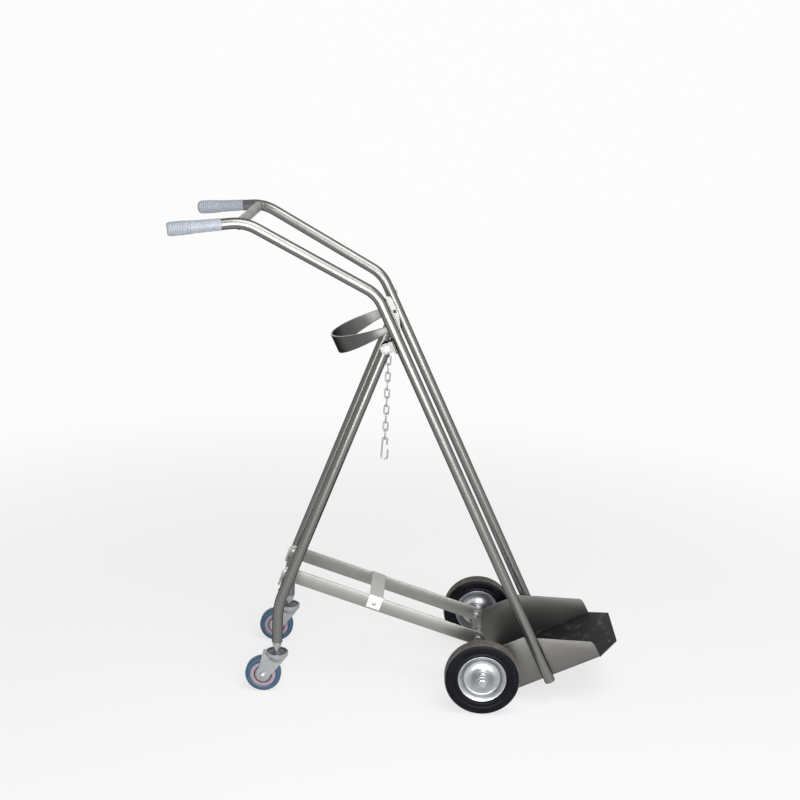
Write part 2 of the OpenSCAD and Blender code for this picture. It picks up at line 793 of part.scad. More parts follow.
// Solid rubber tyre with rounded shoulders and three tread grooves
module tyre(side) {
  half = tyre_w / 2;
  shoulder = 7;
  groove = 1.2;
  color(rubber) at_wheel(side) spin_y() polygon(concat(
    [[rim_r + seat_gap, -half + 4], [rim_r + 1.5, -half], [wheel_r - 16, -half]],
    [for (a = [0:18:90]) [wheel_r - shoulder + shoulder * sin(a), -half + shoulder - shoulder * cos(a)]],
    [for (y = [-5, 0, 5]) each [[wheel_r, y - 1], [wheel_r - groove, y - 0.7],
      [wheel_r - groove, y + 0.7], [wheel_r, y + 1]]],
    [for (a = [90:-18:0]) [wheel_r - shoulder + shoulder * sin(a), half - shoulder + shoulder * cos(a)]],
    [[wheel_r - 16, half], [rim_r + 1.5, half], [rim_r + seat_gap, half - 4]]));
}

// Pressed half rim: flange, drop, flat ring and dished centre around the hub
rim_t = 1.6;
module half_rim_profile() {
  hub_r = hub_d / 2 + seat_gap;
  line = [[hub_r, 17], [hub_r + 1.5, 12], [0.42 * rim_r, 7], [0.55 * rim_r, 6.4], [0.61 * rim_r, 9.5],
    [0.80 * rim_r, 9.5], [0.86 * rim_r, 11.5], [0.93 * rim_r, 13], [rim_r - 0.6, 12.6], [rim_r, 11.4]];
  back = [[rim_r, 0.1], [rim_r - rim_t, 0.1], [rim_r - rim_t, 10.8], [0.92 * rim_r, 11.3], [0.86 * rim_r, 9.8],
    [0.81 * rim_r, 7.9], [0.60 * rim_r, 7.9], [0.54 * rim_r, 4.8], [0.42 * rim_r - 0.8, 5.4], [hub_r, 11]];
  polygon(concat(line, back));
}
module rim_outer(side) {
  color(zinc) at_wheel(side) spin_y() half_rim_profile();
}
module rim_inner(side) {
  color(zinc) at_wheel(side) mirror([0, 1, 0]) spin_y() half_rim_profile();
}

// Hub sleeve with a bearing seat at each end
module hub(side) {
  half = hub_len / 2;
  seat = half - bearing_inset - bearing_w;
  bearing_r = bearing_d / 2;
  step_r = hub_d / 2 - 1.5;
  waist_r = bearing_r - 3;
  color(zinc) at_wheel(side) spin_y() polygon([
    [bearing_r, -half], [step_r, -half], [step_r, -half + 4], [hub_d / 2, -half + 5],
    [hub_d / 2, half - 5], [step_r, half - 4], [step_r, half], [bearing_r, half], [bearing_r, seat - seat_gap],
    [waist_r, seat - seat_gap], [waist_r, -seat + seat_gap], [bearing_r, -seat + seat_gap]]);
}

module bearings(side) {
  half = hub_len / 2;
  color(dark_steel) at_wheel(side) for (end = [-1, 1]) spin_y() {
    y = end * (half - bearing_inset - bearing_w / 2);
    translate([axle_end_d / 2 + shaft_gap, y - bearing_w / 2])
      square([bearing_d / 2 - seat_gap - axle_end_d / 2 - shaft_gap, bearing_w]);
  }
}

// Places a caster drawn about its swivel axis
module at_caster(side) {
  place() translate([-caster_back, side * tube_half, 0]) children();
}
module at_caster_wheel(side) {
  at_caster(side) translate([-caster_trail, 0, caster_r]) children();
}

// Outline of a fork cheek about the swivel axis
module fork_outline() {
  hub_at = [-caster_trail, caster_r];
  function on_end(a) = hub_at + fork_end_r * [cos(a), sin(a)];
  difference() {
    union() {
      polygon([[-caster_trail - 2, race_floor], [0.75 * head_r, race_floor], [0.6 * head_r, race_floor - 13],
        on_end(-40), on_end(168)]);
      translate(hub_at) circle(r = fork_end_r);
    }
    translate(hub_at) circle(r = caster_axle_d / 2 + seat_gap);
  }
}

// Pressed fork: two cheeks, crown, flared shoulder and the swivel head's dish
module caster_fork(side) {
  crown_t = race_floor - crown_z;
  flare_z = crown_z - 12;
  slot_front = 0;
  color(zinc) at_caster(side) difference() {
    union() {
      plate_y(fork_in, fork_out) fork_outline();
      plate_y(-fork_out, -fork_in) fork_outline();
      translate([-caster_trail - 2, -fork_out, crown_z])
        cube([caster_trail + 2, 2 * fork_out, crown_t]);
      translate([0, 0, crown_z]) cylinder(r = head_r, h = race_top - crown_z);
      difference() {
        translate([0, 0, flare_z]) cylinder(r1 = fork_out, r2 = head_r, h = crown_z - flare_z);
        translate([0, 0, flare_z - 1]) cylinder(r = fork_in, h = crown_z - flare_z + 1);
        translate([-head_r - 1, -fork_in, flare_z - 1])
          cube([head_r + 1 + slot_front, 2 * fork_in, crown_z - flare_z + 1]);
      }
    }
    translate([0, 0, race_floor]) cylinder(r = head_r - 2.5, h = race_top - race_floor + 1);
    translate([0, 0, crown_z - 1]) cylinder(r = stem_r + shaft_gap, h = crown_t + 2);
  }
}

// Axle bolt of a caster with its nut
module caster_axle(side) {
  r = caster_axle_d / 2;
  face = fork_out + seat_gap;
  head_h = 0.55 * caster_axle_d;
  color(zinc) at_caster_wheel(side) {
    pin_y(r, -side * (face + head_h + 2), side * face);
    hex_y(1.5 * caster_axle_d, side * face, side * (face + head_h));
    difference() {
      hex_y(1.5 * caster_axle_d, -side * face, -side * (face + head_h));
      pin_y(r + seat_gap, -side * (face - 1), -side * (face + head_h + 1));
    }
  }
}

module caster_tyre(side) {
  half = caster_w / 2;
  shoulder = 4;
  color(caster_blue) at_caster_wheel(side) spin_y() polygon(concat(
    [[core_r + seat_gap, -half + 0.8], [core_r + 1.5, -half]],
    [for (a = [0:22.5:90]) [caster_r - shoulder + shoulder * sin(a), -half + shoulder - shoulder * cos(a)]],
    [for (a = [90:-22.5:0]) [caster_r - shoulder + shoulder * sin(a), half - shoulder + shoulder * cos(a)]],
    [[core_r + 1.5, half], [core_r + seat_gap, half - 0.8]]));
}

// Moulded wheel centre with a recess for the dark ring and the bush
module caster_core(side) {
  half = caster_w / 2;
  color(core_grey) at_caster_wheel(side) spin_y() polygon([
    [bush_r, -core_half + 1], [ring_in_r, -half + ring_depth], [ring_out_r, -half + ring_depth],
    [ring_out_r, -half], [core_r, -half], [core_r, half], [ring_out_r, half],
    [ring_out_r, half - ring_depth], [ring_in_r, half - ring_depth], [bush_r, core_half - 1]]);
}

module caster_rings(side) {
  half = caster_w / 2;
  color([0.25, 0.10, 0.14]) at_caster_wheel(side) for (end = [-1, 1]) spin_y() {
    low = end < 0 ? -half - 0.3 : half - ring_depth + seat_gap;
    translate([ring_in_r + seat_gap, low])
      square([ring_out_r - ring_in_r - 2 * seat_gap, ring_depth + 0.3 - seat_gap]);
  }
}

// Steel bush that runs on the axle bolt
module caster_bush(side) {
  color(zinc) at_caster_wheel(side) spin_y() polygon([
    [caster_axle_d / 2 + shaft_gap, -core_half], [0.6 * bush_r, -core_half],
    [bush_r - seat_gap, -core_half + 1.5], [bush_r - seat_gap, core_half - 1.5],
    [0.6 * bush_r, core_half], [caster_axle_d / 2 + shaft_gap, core_half]]);
}

// Ring that hangs on the anchor pin
module chain_ring() {
  color(zinc) place() translate([chain_pin.x, chain_y, ring_z])
    rotate([90, 0, 0]) rotate_extrude() translate([ring_r, 0]) circle(r = ring_wire_r, $fn = 24);
}

// One link of bent wire, hanging from the middle of its top wire
module chain_link() {
  bow = link_w / 2 - wire_r;
  straight = link_rise - 2 * bow;
  rotate([90, 0, 0]) {
    translate([0, -bow, 0]) rotate_extrude(angle = 180) translate([bow, 0]) circle(r = wire_r, $fn = 24);
    translate([0, -bow - straight, 0]) rotate([0, 0, 180])
      rotate_extrude(angle = 180) translate([bow, 0]) circle(r = wire_r, $fn = 24);
    for (x = [-bow, bow])
      translate([x, -bow, 0]) rotate([90, 0, 0]) cylinder(r = wire_r, h = straight, $fn = 24);
  }
}
module chain_links() {
  color(zinc) place() for (i = [0:link_count - 1])
    translate([chain_pin.x, chain_y, first_link_z - i * link_pitch])
      rotate([0, 0, i % 2 == 0 ? 90 : 0]) chain_link();
}

// Long open hook bent from wire, hanging from the last link
module chain_hook() {
  turn = link_count % 2 == 0 ? 90 : 0;
  low = -hook_len + 2 * hook_wire_r;
  path = [
    [hook_bowl_half, 0, -hook_mouth[1]],
    [hook_bowl_half, 0, low],
    [-hook_bowl_half, 0, low],
    [-hook_eye_half, 0, 0],
    [hook_eye_half, 0, 0],
    [hook_eye_half, 0, -hook_mouth[0]]];
  bowl_r = hook_bowl_half - 1;
  eye_r = hook_eye_half - 0.5;
  color(zinc) place() translate([chain_pin.x, chain_y, hook_z]) rotate([0, 0, turn])
    bent_bar(path, [bowl_r, bowl_r, eye_r, eye_r], hook_wire_r, $fn = 24);
}

side_tube(right);  // side_tube_right
side_tube(left);  // side_tube_left
handle_cross_tube();
grip(right);  // grip_right
grip(left);  // grip_left
saddle_band();
tray();
chain_hook_plate();
chain_anchor_pin();
leg_bracket(right);  // leg_bracket_right
leg_bracket(left);  // leg_bracket_left
leg_pivot_bolts();
leg_pivot_nuts();
main_axle();
axle_spacers();
axle_washers();
axle_nuts();
brace_lug(right);  // brace_lug_right
brace_lug(left);  // brace_lug_left
brace_pivot_bolts();
brace_pivot_nuts();
leg(right);  // leg_right
leg(left);  // leg_left
leg_rod();
leg_sockets();
caster_stems();
caster_top_races();
brace_bar(right);  // brace_bar_right
brace_bar(left);  // brace_bar_left
brace_hook(right);  // brace_hook_right
brace_hook(left);  // brace_hook_left
brace_lift_plate();
brace_rivets();
tyre(right);  // tyre_right
rim_outer(right);  // rim_outer_right
rim_inner(right);  // rim_inner_right
hub(right);  // hub_right
bearings(right);  // bearings_right
tyre(left);  // tyre_left
rim_outer(left);  // rim_outer_left
rim_inner(left);  // rim_inner_left
hub(left);  // hub_left
bearings(left);  // bearings_left
caster_fork(right);  // caster_fork_right
caster_axle(right);  // caster_axle_right
caster_tyre(right);  // caster_tyre_right
caster_core(right);  // caster_core_right
caster_rings(right);  // caster_rings_right
caster_bush(right);  // caster_bush_right
caster_fork(left);  // caster_fork_left
caster_axle(left);  // caster_axle_left
caster_tyre(left);  // caster_tyre_left
caster_core(left);  // caster_core_left
caster_rings(left);  // caster_rings_left
caster_bush(left);  // caster_bush_left
chain_ring();
chain_links();
chain_hook();
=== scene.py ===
import json
import math

import bmesh
import bpy
from mathutils import Matrix, Vector


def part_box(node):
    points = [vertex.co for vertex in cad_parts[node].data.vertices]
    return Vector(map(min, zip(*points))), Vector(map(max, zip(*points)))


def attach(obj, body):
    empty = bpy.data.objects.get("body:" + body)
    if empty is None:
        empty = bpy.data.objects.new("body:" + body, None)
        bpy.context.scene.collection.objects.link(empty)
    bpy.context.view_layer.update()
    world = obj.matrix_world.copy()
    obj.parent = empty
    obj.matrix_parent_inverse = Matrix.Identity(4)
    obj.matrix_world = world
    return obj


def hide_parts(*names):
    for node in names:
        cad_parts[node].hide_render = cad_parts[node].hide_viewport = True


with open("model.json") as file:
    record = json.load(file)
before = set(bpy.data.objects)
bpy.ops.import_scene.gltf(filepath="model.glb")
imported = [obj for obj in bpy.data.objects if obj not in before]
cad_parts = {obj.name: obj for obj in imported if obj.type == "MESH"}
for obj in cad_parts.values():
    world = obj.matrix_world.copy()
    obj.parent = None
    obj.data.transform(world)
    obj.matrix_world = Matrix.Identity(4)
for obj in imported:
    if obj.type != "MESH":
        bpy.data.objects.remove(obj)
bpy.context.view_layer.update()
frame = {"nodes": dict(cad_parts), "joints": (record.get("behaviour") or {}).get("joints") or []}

bl_info = {
    "name": "Two-Wheel Trolley",
    "version": (1, 0, 0),
    "blender": (4, 5, 0),
    "location": "View3D > Sidebar > Trolley",
    "description": "Dresses the folding two-wheel trolley with its detailed pieces, finishes and studio",
    "category": "Object",
}

SIDES = {"right": -1, "left": 1}
ALONG, ACROSS = Vector((1, 0, 0)), Vector((0, 1, 0))
PIVOTS = {joint["name"]: Vector(joint["pos_m"]) for joint in frame["joints"]}
LOAD_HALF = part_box("tray")[1].y  # half the width between the side tubes
PLATE = 0.003  # thickness of the tray's sheet, the bars and the brackets
BAR_HALF = 0.015  # half the height of a brace bar
BAR_AT = 0.065  # middle of a brace bar, across
GAP = 0.0003  # running gap between pieces that move past each other
HAIR = 0.00003  # hairline gap between pieces that lie face to face
SCREW = 0.004  # radius of the pivot and caster screws
ROD = 0.003  # radius of the rod between the legs
NUT, NUT_HEIGHT = 0.013, 0.0064  # pivot nuts: width across flats, height
LIFT_AT, LIFT_SHEET = 0.234, 0.002  # lift plate: distance along the bars, thickness


def middle(node):
    """Centre of a node's box."""
    low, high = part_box(node)
    return (low + high) / 2


def extent(node):
    """Size of a node's box."""
    low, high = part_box(node)
    return high - low


def linear(code):
    """sRGB hex code as linear red, green, blue and alpha."""
    parts = [int(code[i:i + 2], 16) / 255 for i in (1, 3, 5)]
    return tuple(c / 12.92 if c <= 0.04045 else ((c + 0.055) / 1.055) ** 2.4 for c in parts) + (1.0,)


def length(name, description, default):
    """A size in metres that a user may change."""
    return bpy.props.FloatProperty(name=name, description=description, default=default,
                                   precision=5, unit="LENGTH", subtype="DISTANCE")


def shade(name, description, code):
    """A colour that a user may change."""
    return bpy.props.FloatVectorProperty(name=name, description=description, default=linear(code)[:3],
                                         subtype="COLOR", size=3, min=0, max=1)


def amount(name, description, default, most):
    """A whole number that a user may change."""
    return bpy.props.IntProperty(name=name, description=description, default=default, min=1, max=most)


def number(name, description, default, unit="NONE"):
    """A plain number that a user may change."""
    return bpy.props.FloatProperty(name=name, description=description, default=default, min=0, unit=unit)


class TubeSizes(bpy.types.PropertyGroup):
    diameter: length("Tube Diameter", "Outer diameter of the bent side tubes", 0.022)
    wall: length("Tube Wall", "Wall of the side tubes", 0.0015)
    lean: bpy.props.FloatProperty(name="Lean", description="Lean of the side tubes from the vertical",
                                  default=math.radians(26.3), subtype="ANGLE", unit="ROTATION")
    foot_x: length("Foot Forward", "Tray underside at the tubes, forward of the origin", 0.32829)
    foot_z: length("Foot Height", "Tray underside at the tubes, above the floor", 0.0567084)
    below: length("Tube Below Tray", "Length of tube below the tray", 0.004)
    bend_up: length("Lower Bend", "Distance up the tube to its lower bend", 0.889)
    diagonal_run: length("Diagonal Run", "Horizontal run of the upper diagonal", 0.259)
    diagonal_rise: length("Diagonal Rise", "Rise of the upper diagonal", 0.133)
    handle_run: length("Handle Run", "Horizontal run from the upper bend to the tube's end", 0.140)
    handle_drop: length("Handle Drop", "Drop of the handle towards its end", 0.0165)
    apex_half: length("Upper Bend Half Spacing", "Half spacing of the tubes at the upper bend", 0.1545)
    handle_half: length("Handle Half Spacing", "Half spacing of the tubes at the handle ends", 0.183)
    lower_radius: length("Lower Bend Radius", "Centre-line radius of the lower bend", 0.070)
    upper_radius: length("Upper Bend Radius", "Centre-line radius of the upper bend", 0.085)
    bead: length("Weld Bead", "Radius of a weld bead", 0.0022)


class GripSizes(bpy.types.PropertyGroup):
    span: length("Grip Length", "Length of a grip", 0.103)
    open_diameter: length("Open End", "Grip diameter at its open end", 0.0245)
    closed_diameter: length("Closed End", "Grip diameter at its closed end", 0.0275)
    end_wall: length("End Wall", "Thickness of the grip's closed end", 0.004)
    rings: amount("Rings", "Number of raised rings", 9, 20)
    ring_pitch: length("Ring Pitch", "Distance from ring to ring", 0.0047)


class SaddleSizes(bpy.types.PropertyGroup):
    up: length("Saddle Up The Tubes", "Distance up the tubes to the saddle's middle", 0.816)
    thick: length("Band Thickness", "Thickness of the saddle band", 0.004)
    reach: length("Saddle Back", "Centre of the band's half circle behind the tubes", 0.020)
    front: length("Front Height", "Height of the band at the tubes", 0.015)
    back: length("Back Height", "Height of the band behind the load", 0.0407759)


class TraySizes(bpy.types.PropertyGroup):
    back: length("Tray Back", "Tray behind the tubes", 0.111)
    front: length("Cheek Front", "Cheeks in front of the tubes", 0.1165)
    toe: length("Toe", "Toe in front of the tubes", 0.159)
    cut: length("Toe Corner", "Cut corner of the toe", 0.0425)
    fold: length("Fold", "Outer radius of the folds", 0.0045)
    cheek: length("Cheek Height", "Height of the cheeks at the axle", 0.104)
    nose: length("Nose Height", "Height of the cheeks at their front", 0.042)
    axle_back: length("Axle Back", "Axle behind the tubes, along the tray", 0.120)
    axle_up: length("Axle Up", "Axle above the tray's underside", 0.0825)


class LegSizes(bpy.types.PropertyGroup):
    bend_up: length("Leg Bend", "Height of the bend in the legs", 0.1905)
    end_up: length("Leg End", "Height of the legs' lower ends", 0.110)
    bend: length("Leg Bend Radius", "Centre-line radius of the bend in the legs", 0.150)


class WheelSizes(bpy.types.PropertyGroup):
    rim_diameter: length("Rim Diameter", "Diameter of the pressed steel rim", 0.101)
    hub_diameter: length("Hub Diameter", "Diameter of the wheel hub", 0.033)
    hub_length: length("Hub Length", "Length of the wheel hub", 0.044)
    shoulder: length("Tyre Shoulder", "Radius of the tyre's shoulders", 0.007)
    groove_depth: length("Tread Groove", "Depth of the tread's grooves", 0.0009)
    grooves: amount("Tread Grooves", "Number of grooves round the tread", 5, 15)


class ChainSizes(bpy.types.PropertyGroup):
    wire: length("Chain Wire", "Diameter of the chain's wire", 0.0035)
    link: length("Link Length", "Outer length of a link", 0.026)
    width: length("Link Width", "Outer width of a link", 0.013)
    play: length("Link Play", "Gap between one link and the next", 0.00025)
    links: amount("Links", "Number of links", 17, 40)
    ring_wire: length("Ring Wire", "Diameter of the ring's wire", 0.004)


class Finishes(bpy.types.PropertyGroup):
    tube: shade("Tube Steel", "Satin stainless steel of the tubes", "#7E7D7B")
    sheet: shade("Sheet Steel", "Satin stainless steel of the tray", "#6B6A68")
    plate: shade("Plate Steel", "Satin stainless steel of bars and brackets", "#949390")
    # Band Steel is a darker copy of the steel, painted shade; Rubbed Edge is a painted highlight on the band's
    # top and bottom edges.
    band: shade("Band Steel", "Satin stainless steel of the saddle band", "#636261")
    rubbed: shade("Rubbed Edge", "Edges of the saddle band, rubbed bright", "#C0BFBC")
    # Lift Plate Steel is far paler than the other steel: painted light on the plate's upward face.
    lift: shade("Lift Plate Steel", "Satin stainless steel of the lift plate", "#D6D6D3")
    zinc: shade("Zinc Plate", "Zinc plating of the small parts", "#ABADB0")
    race: shade("Race Steel", "Blackened steel of the swivel races", "#646668")
    tyre: shade("Tyre Rubber", "Black rubber of the large tyres", "#05060B")
    # Tyre Tread is pale partly from dust and partly as painted light from above.
    tread: shade("Tyre Tread", "Dusty rubber of the tread", "#3D3936")
    seal: shade("Bearing Seal", "Rubber seal of the wheel bearings", "#222325")
    blue: shade("Caster Rubber", "Blue elastic rubber of the casters", "#1C3E57")
    core: shade("Caster Core", "Moulded nylon of the caster centres", "#82727D")
    ring: shade("Caster Ring", "Dark red ring round the caster bearing", "#371922")
    grip: shade("Grip Vinyl", "Soft vinyl of the grips", "#898E97")
    # The nearly black Tray Floor colour is painted shade on the floor's top face; only its rubbed spots are wear.
    toe: shade("Tray Floor", "Worn dark face of the tray's floor", "#0E0F11")


class StudioSettings(bpy.types.PropertyGroup):
    lens: number("Lens", "Focal length of the camera in millimetres", 61.6337, "CAMERA")
    key: number("Key Light", "Power of the key light in watts", 140, "POWER")
    top: number("Top Light", "Power of the top light in watts", 82, "POWER")
    side: number("Side Light", "Power of the side light in watts", 9, "POWER")
    low: number("Low Light", "Power of the low light in watts", 17, "POWER")
    room: number("Room Light", "Level of the room's own light", 0.28)
    floor: shade("Floor", "Colour of the floor and backdrop", "#D1D1D0")


def sizes_of(name):
    """One of the user's groups of sizes."""
    return getattr(bpy.context.scene, f"trolley_{name}")


def tilted(forward, across, up):
    """Point given forward along the tray, across, and up along the side tubes."""
    sizes = sizes_of("tubes")
    c, s = math.cos(sizes.lean), math.sin(sizes.lean)
    return Vector((sizes.foot_x + forward * c - up * s, across, sizes.foot_z + forward * s + up * c))


def tube_way():
    """Direction up the side tubes."""
    return (tilted(0, 0, 1) - tilted(0, 0, 0)).normalized()


def tube_half():
    """Half spacing of the side tubes where they run beside the tray."""
    return LOAD_HALF + sizes_of("tubes").diameter / 2


def tube_corners(side):
    """Foot, lower bend, upper bend and end of a side tube."""
    sizes = sizes_of("tubes")
    foot = tilted(0, side * tube_half(), -sizes.below)
    bend = tilted(0, side * tube_half(), sizes.bend_up)
    apex = Vector((bend.x - sizes.diagonal_run, side * sizes.apex_half, bend.z + sizes.diagonal_rise))
    end = Vector((apex.x - sizes.handle_run, side * sizes.handle_half, apex.z - sizes.handle_drop))
    return [foot, bend, apex, end]


def bent(points, radii, step=math.radians(4)):
    """Line through the points, with a round bend at each inner one."""
    line = [points[0]]
    for before, here, after, radius in zip(points, points[1:], points[2:], radii):
        a, b = (here - before).normalized(), (after - here).normalized()
        turn = a.angle(b)
        inward = (b - a.dot(b) * a).normalized()
        centre = here - a * radius * math.tan(turn / 2) + inward * radius
        steps = max(3, round(turn / step))
        for t in (turn * k / steps for k in range(steps + 1)):
            line.append(centre - inward * radius * math.cos(t) + a * radius * math.sin(t))
    return line + [points[-1]]


def spaced(line, gap):
    """The same line with no two points further apart than the gap."""
    out = [line[0]]
    for a, b in zip(line, line[1:]):
        parts = max(1, math.ceil((b - a).length / gap))
        out += [a.lerp(b, k / parts) for k in range(1, parts + 1)]
    return out


def turns(steps):
    """Angles of equal steps round a circle."""
    return [2 * math.pi * k / steps for k in range(steps)]


def arc(x, y, radius, start, stop, steps=8):
    """2-D points along an arc, angles in degrees."""
    angles = [math.radians(start + (stop - start) * k / steps) for k in range(steps + 1)]
    return [Vector((x + radius * math.cos(t), y + radius * math.sin(t))) for t in angles]


def hoop(centre, radius, steps):
    """Upright circle along the trolley, its last point on its first."""
    return [centre + Vector((p.x, 0, p.y)) for p in arc(0, 0, radius, 0, 360, steps)]


def mirrored(profile):
    """A profile of (radius, distance) and its mirror image, as one outline."""
    return profile + [(r, -a) for r, a in reversed(profile)]


def rounded(points, radius, steps=4):
    """2-D outline with each corner rounded, as far as its edges allow."""
    out = []
    for i, corner in enumerate(points):
        here, before, after = (Vector(p) for p in (corner, points[i - 1], points[(i + 1) % len(points)]))
        a, b = before - here, after - here
        if min(a.length, b.length) < 1e-7:
            continue
        half = a.angle(b) / 2
        if half > math.radians(88):
            out.append(here)
            continue
        cut = min(radius / math.tan(half), 0.48 * a.length, 0.48 * b.length)
        p, q = here + a.normalized() * cut, here + b.normalized() * cut
        out += [p.lerp(here, k / steps).lerp(here.lerp(q, k / steps), k / steps) for k in range(steps + 1)]
    return out


def inset(loop, distance):
    """2-D outline moved inwards by a distance."""
    count = len(loop)
    area = sum(loop[i - 1].x * loop[i].y - loop[i].x * loop[i - 1].y for i in range(count))
    turn = 1 if area > 0 else -1
    out = []
    for i in range(count):
        a = (loop[i] - loop[i - 1]).normalized()
        b = (loop[(i + 1) % count] - loop[i]).normalized()
        m, n = Vector((-a.y, a.x)) * turn, Vector((-b.y, b.x)) * turn
        out.append(loop[i] + (m + n) * distance / max(0.3, 1 + m.dot(n)))
    return out


def turned(centre, axis):
    """Function that gives the point at a radius, an angle and a distance along an axis."""
    side = axis.orthogonal().normalized()
    other = axis.cross(side)
    return lambda r, t, a: centre + axis * a + (side * math.cos(t) + other * math.sin(t)) * r


def bar_rings(line, radius, sides, closed=False):
    """Rings of a bar along a line; the radius is one number, or one for each point."""
    count = len(line)
    radii = radius if isinstance(radius, list) else [radius] * count
    ways = []
    for i in range(count):
        before = line[i - 1] if i > 0 or closed else line[0]
        after = line[(i + 1) % count] if i < count - 1 or closed else line[-1]
        ways.append((after - before).normalized())
    normal = ways[0].orthogonal().normalized()
    rings = []
    for point, way, reach in zip(line, ways, radii):
        normal = (normal - way * normal.dot(way)).normalized()
        other = way.cross(normal)
        rings.append([point + (normal * math.cos(t) + other * math.sin(t)) * reach for t in turns(sides)])
    if closed:
        drift = min(range(sides), key=lambda j: (rings[-1][j] - rings[0][0]).length)
        twist = 2 * math.pi * (sides - drift) / sides if drift else 0
        for i, (point, way) in enumerate(zip(line, ways)):
            spin = Matrix.Rotation(twist * i / count, 3, way)
            rings[i] = [point + spin @ (p - point) for p in rings[i]]
    return rings


class Shape:
    """Rings of points that are joined into one mesh, with lengths in metres as its UVs."""

    def __init__(self):
        self.bm = bmesh.new()
        self.uv = self.bm.loops.layers.uv.new("grain")
        self.heat = self.bm.verts.layers.float.new("heat")

    def rings(self, rings, along=False, slot=0, caps=False):
        """Joins each ring to the next; along joins the last ring to the first."""
        grid = [[self.bm.verts.new(p) for p in ring] for ring in rings]
        count = len(rings[0])
        u, v = [0.0], [0.0]
        for i in range(1, len(rings) + 1):
            u.append(u[-1] + (rings[i % len(rings)][0] - rings[i - 1][0]).length)
        widest = max(rings, key=lambda ring: (ring[0] - ring[count // 2]).length)
        for j in range(1, count + 1):
            v.append(v[-1] + (widest[j % count] - widest[j - 1]).length)
        slots = slot if isinstance(slot, list) else [slot] * len(rings)
        for i in range(len(rings) if along else len(rings) - 1):
            low, high = grid[i], grid[(i + 1) % len(rings)]
            for j in range(count):
                k = (j + 1) % count
                face = self.bm.faces.new((low[j], low[k], high[k], high[j]))
                face.smooth = True
                face.material_index = slots[i]
                for loop, (a, b) in zip(face.loops, ((i, j), (i, j + 1), (i + 1, j + 1), (i + 1, j))):
                    loop[self.uv].uv = (u[a], v[b])
        for ring in (grid[0], grid[-1]) if caps else ():
            face = self.bm.faces.new(ring)
            face.material_index = slots[0]
            for loop in face.loops:
                loop[self.uv].uv = (loop.vert.co.x, loop.vert.co.z)

    def lathe(self, profile, centre, axis=ACROSS, segments=96, slot=0, closed=True):
        """Turns a profile of (radius, distance along the axis) about the axis."""
        at = turned(centre, axis)
        self.rings([[at(r, t, a) for t in turns(segments)] for r, a in profile], along=closed, slot=slot)

    def sweep(self, line, radius, sides=24, closed=False, slot=0):
        """Round bar along a line; the radius is one number, or one for each point."""
        self.rings(bar_rings(line, radius, sides, closed), along=closed, slot=slot, caps=not closed)

    def pipe(self, line, radius, wall, sides=48):
        """Hollow tube along a line, one closed skin."""
        self.rings(bar_rings(line, radius, sides) + bar_rings(line, radius - wall, sides)[::-1], along=True)

    def bead(self, line, radius, slot=0):
        """Weld bead: a line of overlapping drops, 2.6 mm apart, that tapers at both ends."""
        line = spaced(line, 0.0006)
        run, radii = 0.0, []
        for before, point in zip(line[:1] + line, line):
            run += (point - before).length
            radii.append(radius * (0.86 + 0.16 * abs(math.sin(math.pi * run / 0.0026))))
        for k in range(min(4, len(radii) // 2)):
            radii[k] *= 0.45 + 0.15 * k
            radii[-1 - k] *= 0.45 + 0.15 * k
        self.sweep(line, radii, sides=10, slot=slot)

    def hexagon(self, across, low, high, centre, axis=ACROSS, bore=0.0, key=0.0):
        """Hexagon nut or bolt head with chamfered corners, turned by the key angle."""
        corner, flat = across / 2 / math.cos(math.pi / 6), across * 0.475
        rise = (corner - flat) * math.tan(math.pi / 6)
        stops = [(rise * k / 3, flat + (corner - flat) * k / 3) for k in range(4)]
        levels = [(low + z, r) for z, r in stops] + [(high - z, r) for z, r in reversed(stops)]
        at = turned(centre, axis)
        hole = max(bore, 1e-5)

        def reach(t):
            """Distance from the middle to the hexagon's edge."""
            return across / 2 / math.cos((t + key + math.pi / 6) % (math.pi / 3) - math.pi / 6)
        body = [[at(min(r, reach(t)), t, z) for t in turns(48)] for z, r in levels]
        ends = [[at(hole, t, z) for t in turns(48)] for z in (low, high)]
        self.rings([ends[0]] + body + [ends[1]], along=bore > 0)

    def thread(self, radius, low, high, centre, axis=ACROSS, pitch=0.00125):
        """Screw thread from low to high along the axis, with a chamfered end at high."""
        depth, sides = 0.55 * pitch, 32
        at = turned(centre, axis)
        way = 1 if high > low else -1
        steps = max(2, round(abs(high - low) / (pitch / 6)))
        rings = []
        for z in (low + (high - low) * i / steps for i in range(steps + 1)):
            chamfer = 1 - min(1.0, abs(high - z) / pitch)
            ring = []
            for j, t in enumerate(turns(sides)):
                phase = (abs(z) / pitch - way * j / sides) % 1
                ring.append(at(radius - depth * (abs(2 * phase - 1) + chamfer), t, z))
            rings.append(ring)
        self.rings(rings + [[centre + axis * high] * sides])

    def plate(self, outline, holes, place, low, high, edge=0.0005):
        """Flat plate with eased edges; place turns (a, b, height) into a point."""
        way = 1 if high > low else -1
        loops = [(outline, 1)] + [(hole, -1) for hole in holes]
        ease = [(edge * (1 - math.sin(t)), edge * (1 - math.cos(t)))
                for t in (math.radians(30 * k) for k in range(4))]
        levels = [(d, low + way * h) for d, h in ease] + [(d, high - way * h) for d, h in reversed(ease)]
        for loop, sign in loops:
            self.rings([[place(p.x, p.y, h) for p in inset(loop, sign * d)] for d, h in levels])
        for height in (low, high):
            edges, flat = [], {}
            for loop, sign in loops:
                points = inset(loop, sign * edge)
                verts = [self.bm.verts.new(place(p.x, p.y, height)) for p in points]
                flat.update(zip(verts, points))
                edges += [self.bm.edges.new((verts[i - 1], verts[i])) for i in range(len(verts))]
            made = bmesh.ops.triangle_fill(self.bm, edges=edges, use_beauty=True, use_dissolve=False)
            for face in (part for part in made["geom"] if isinstance(part, bmesh.types.BMFace)):
                face.smooth = False
                for loop in face.loops:
                    loop[self.uv].uv = flat[loop.vert]

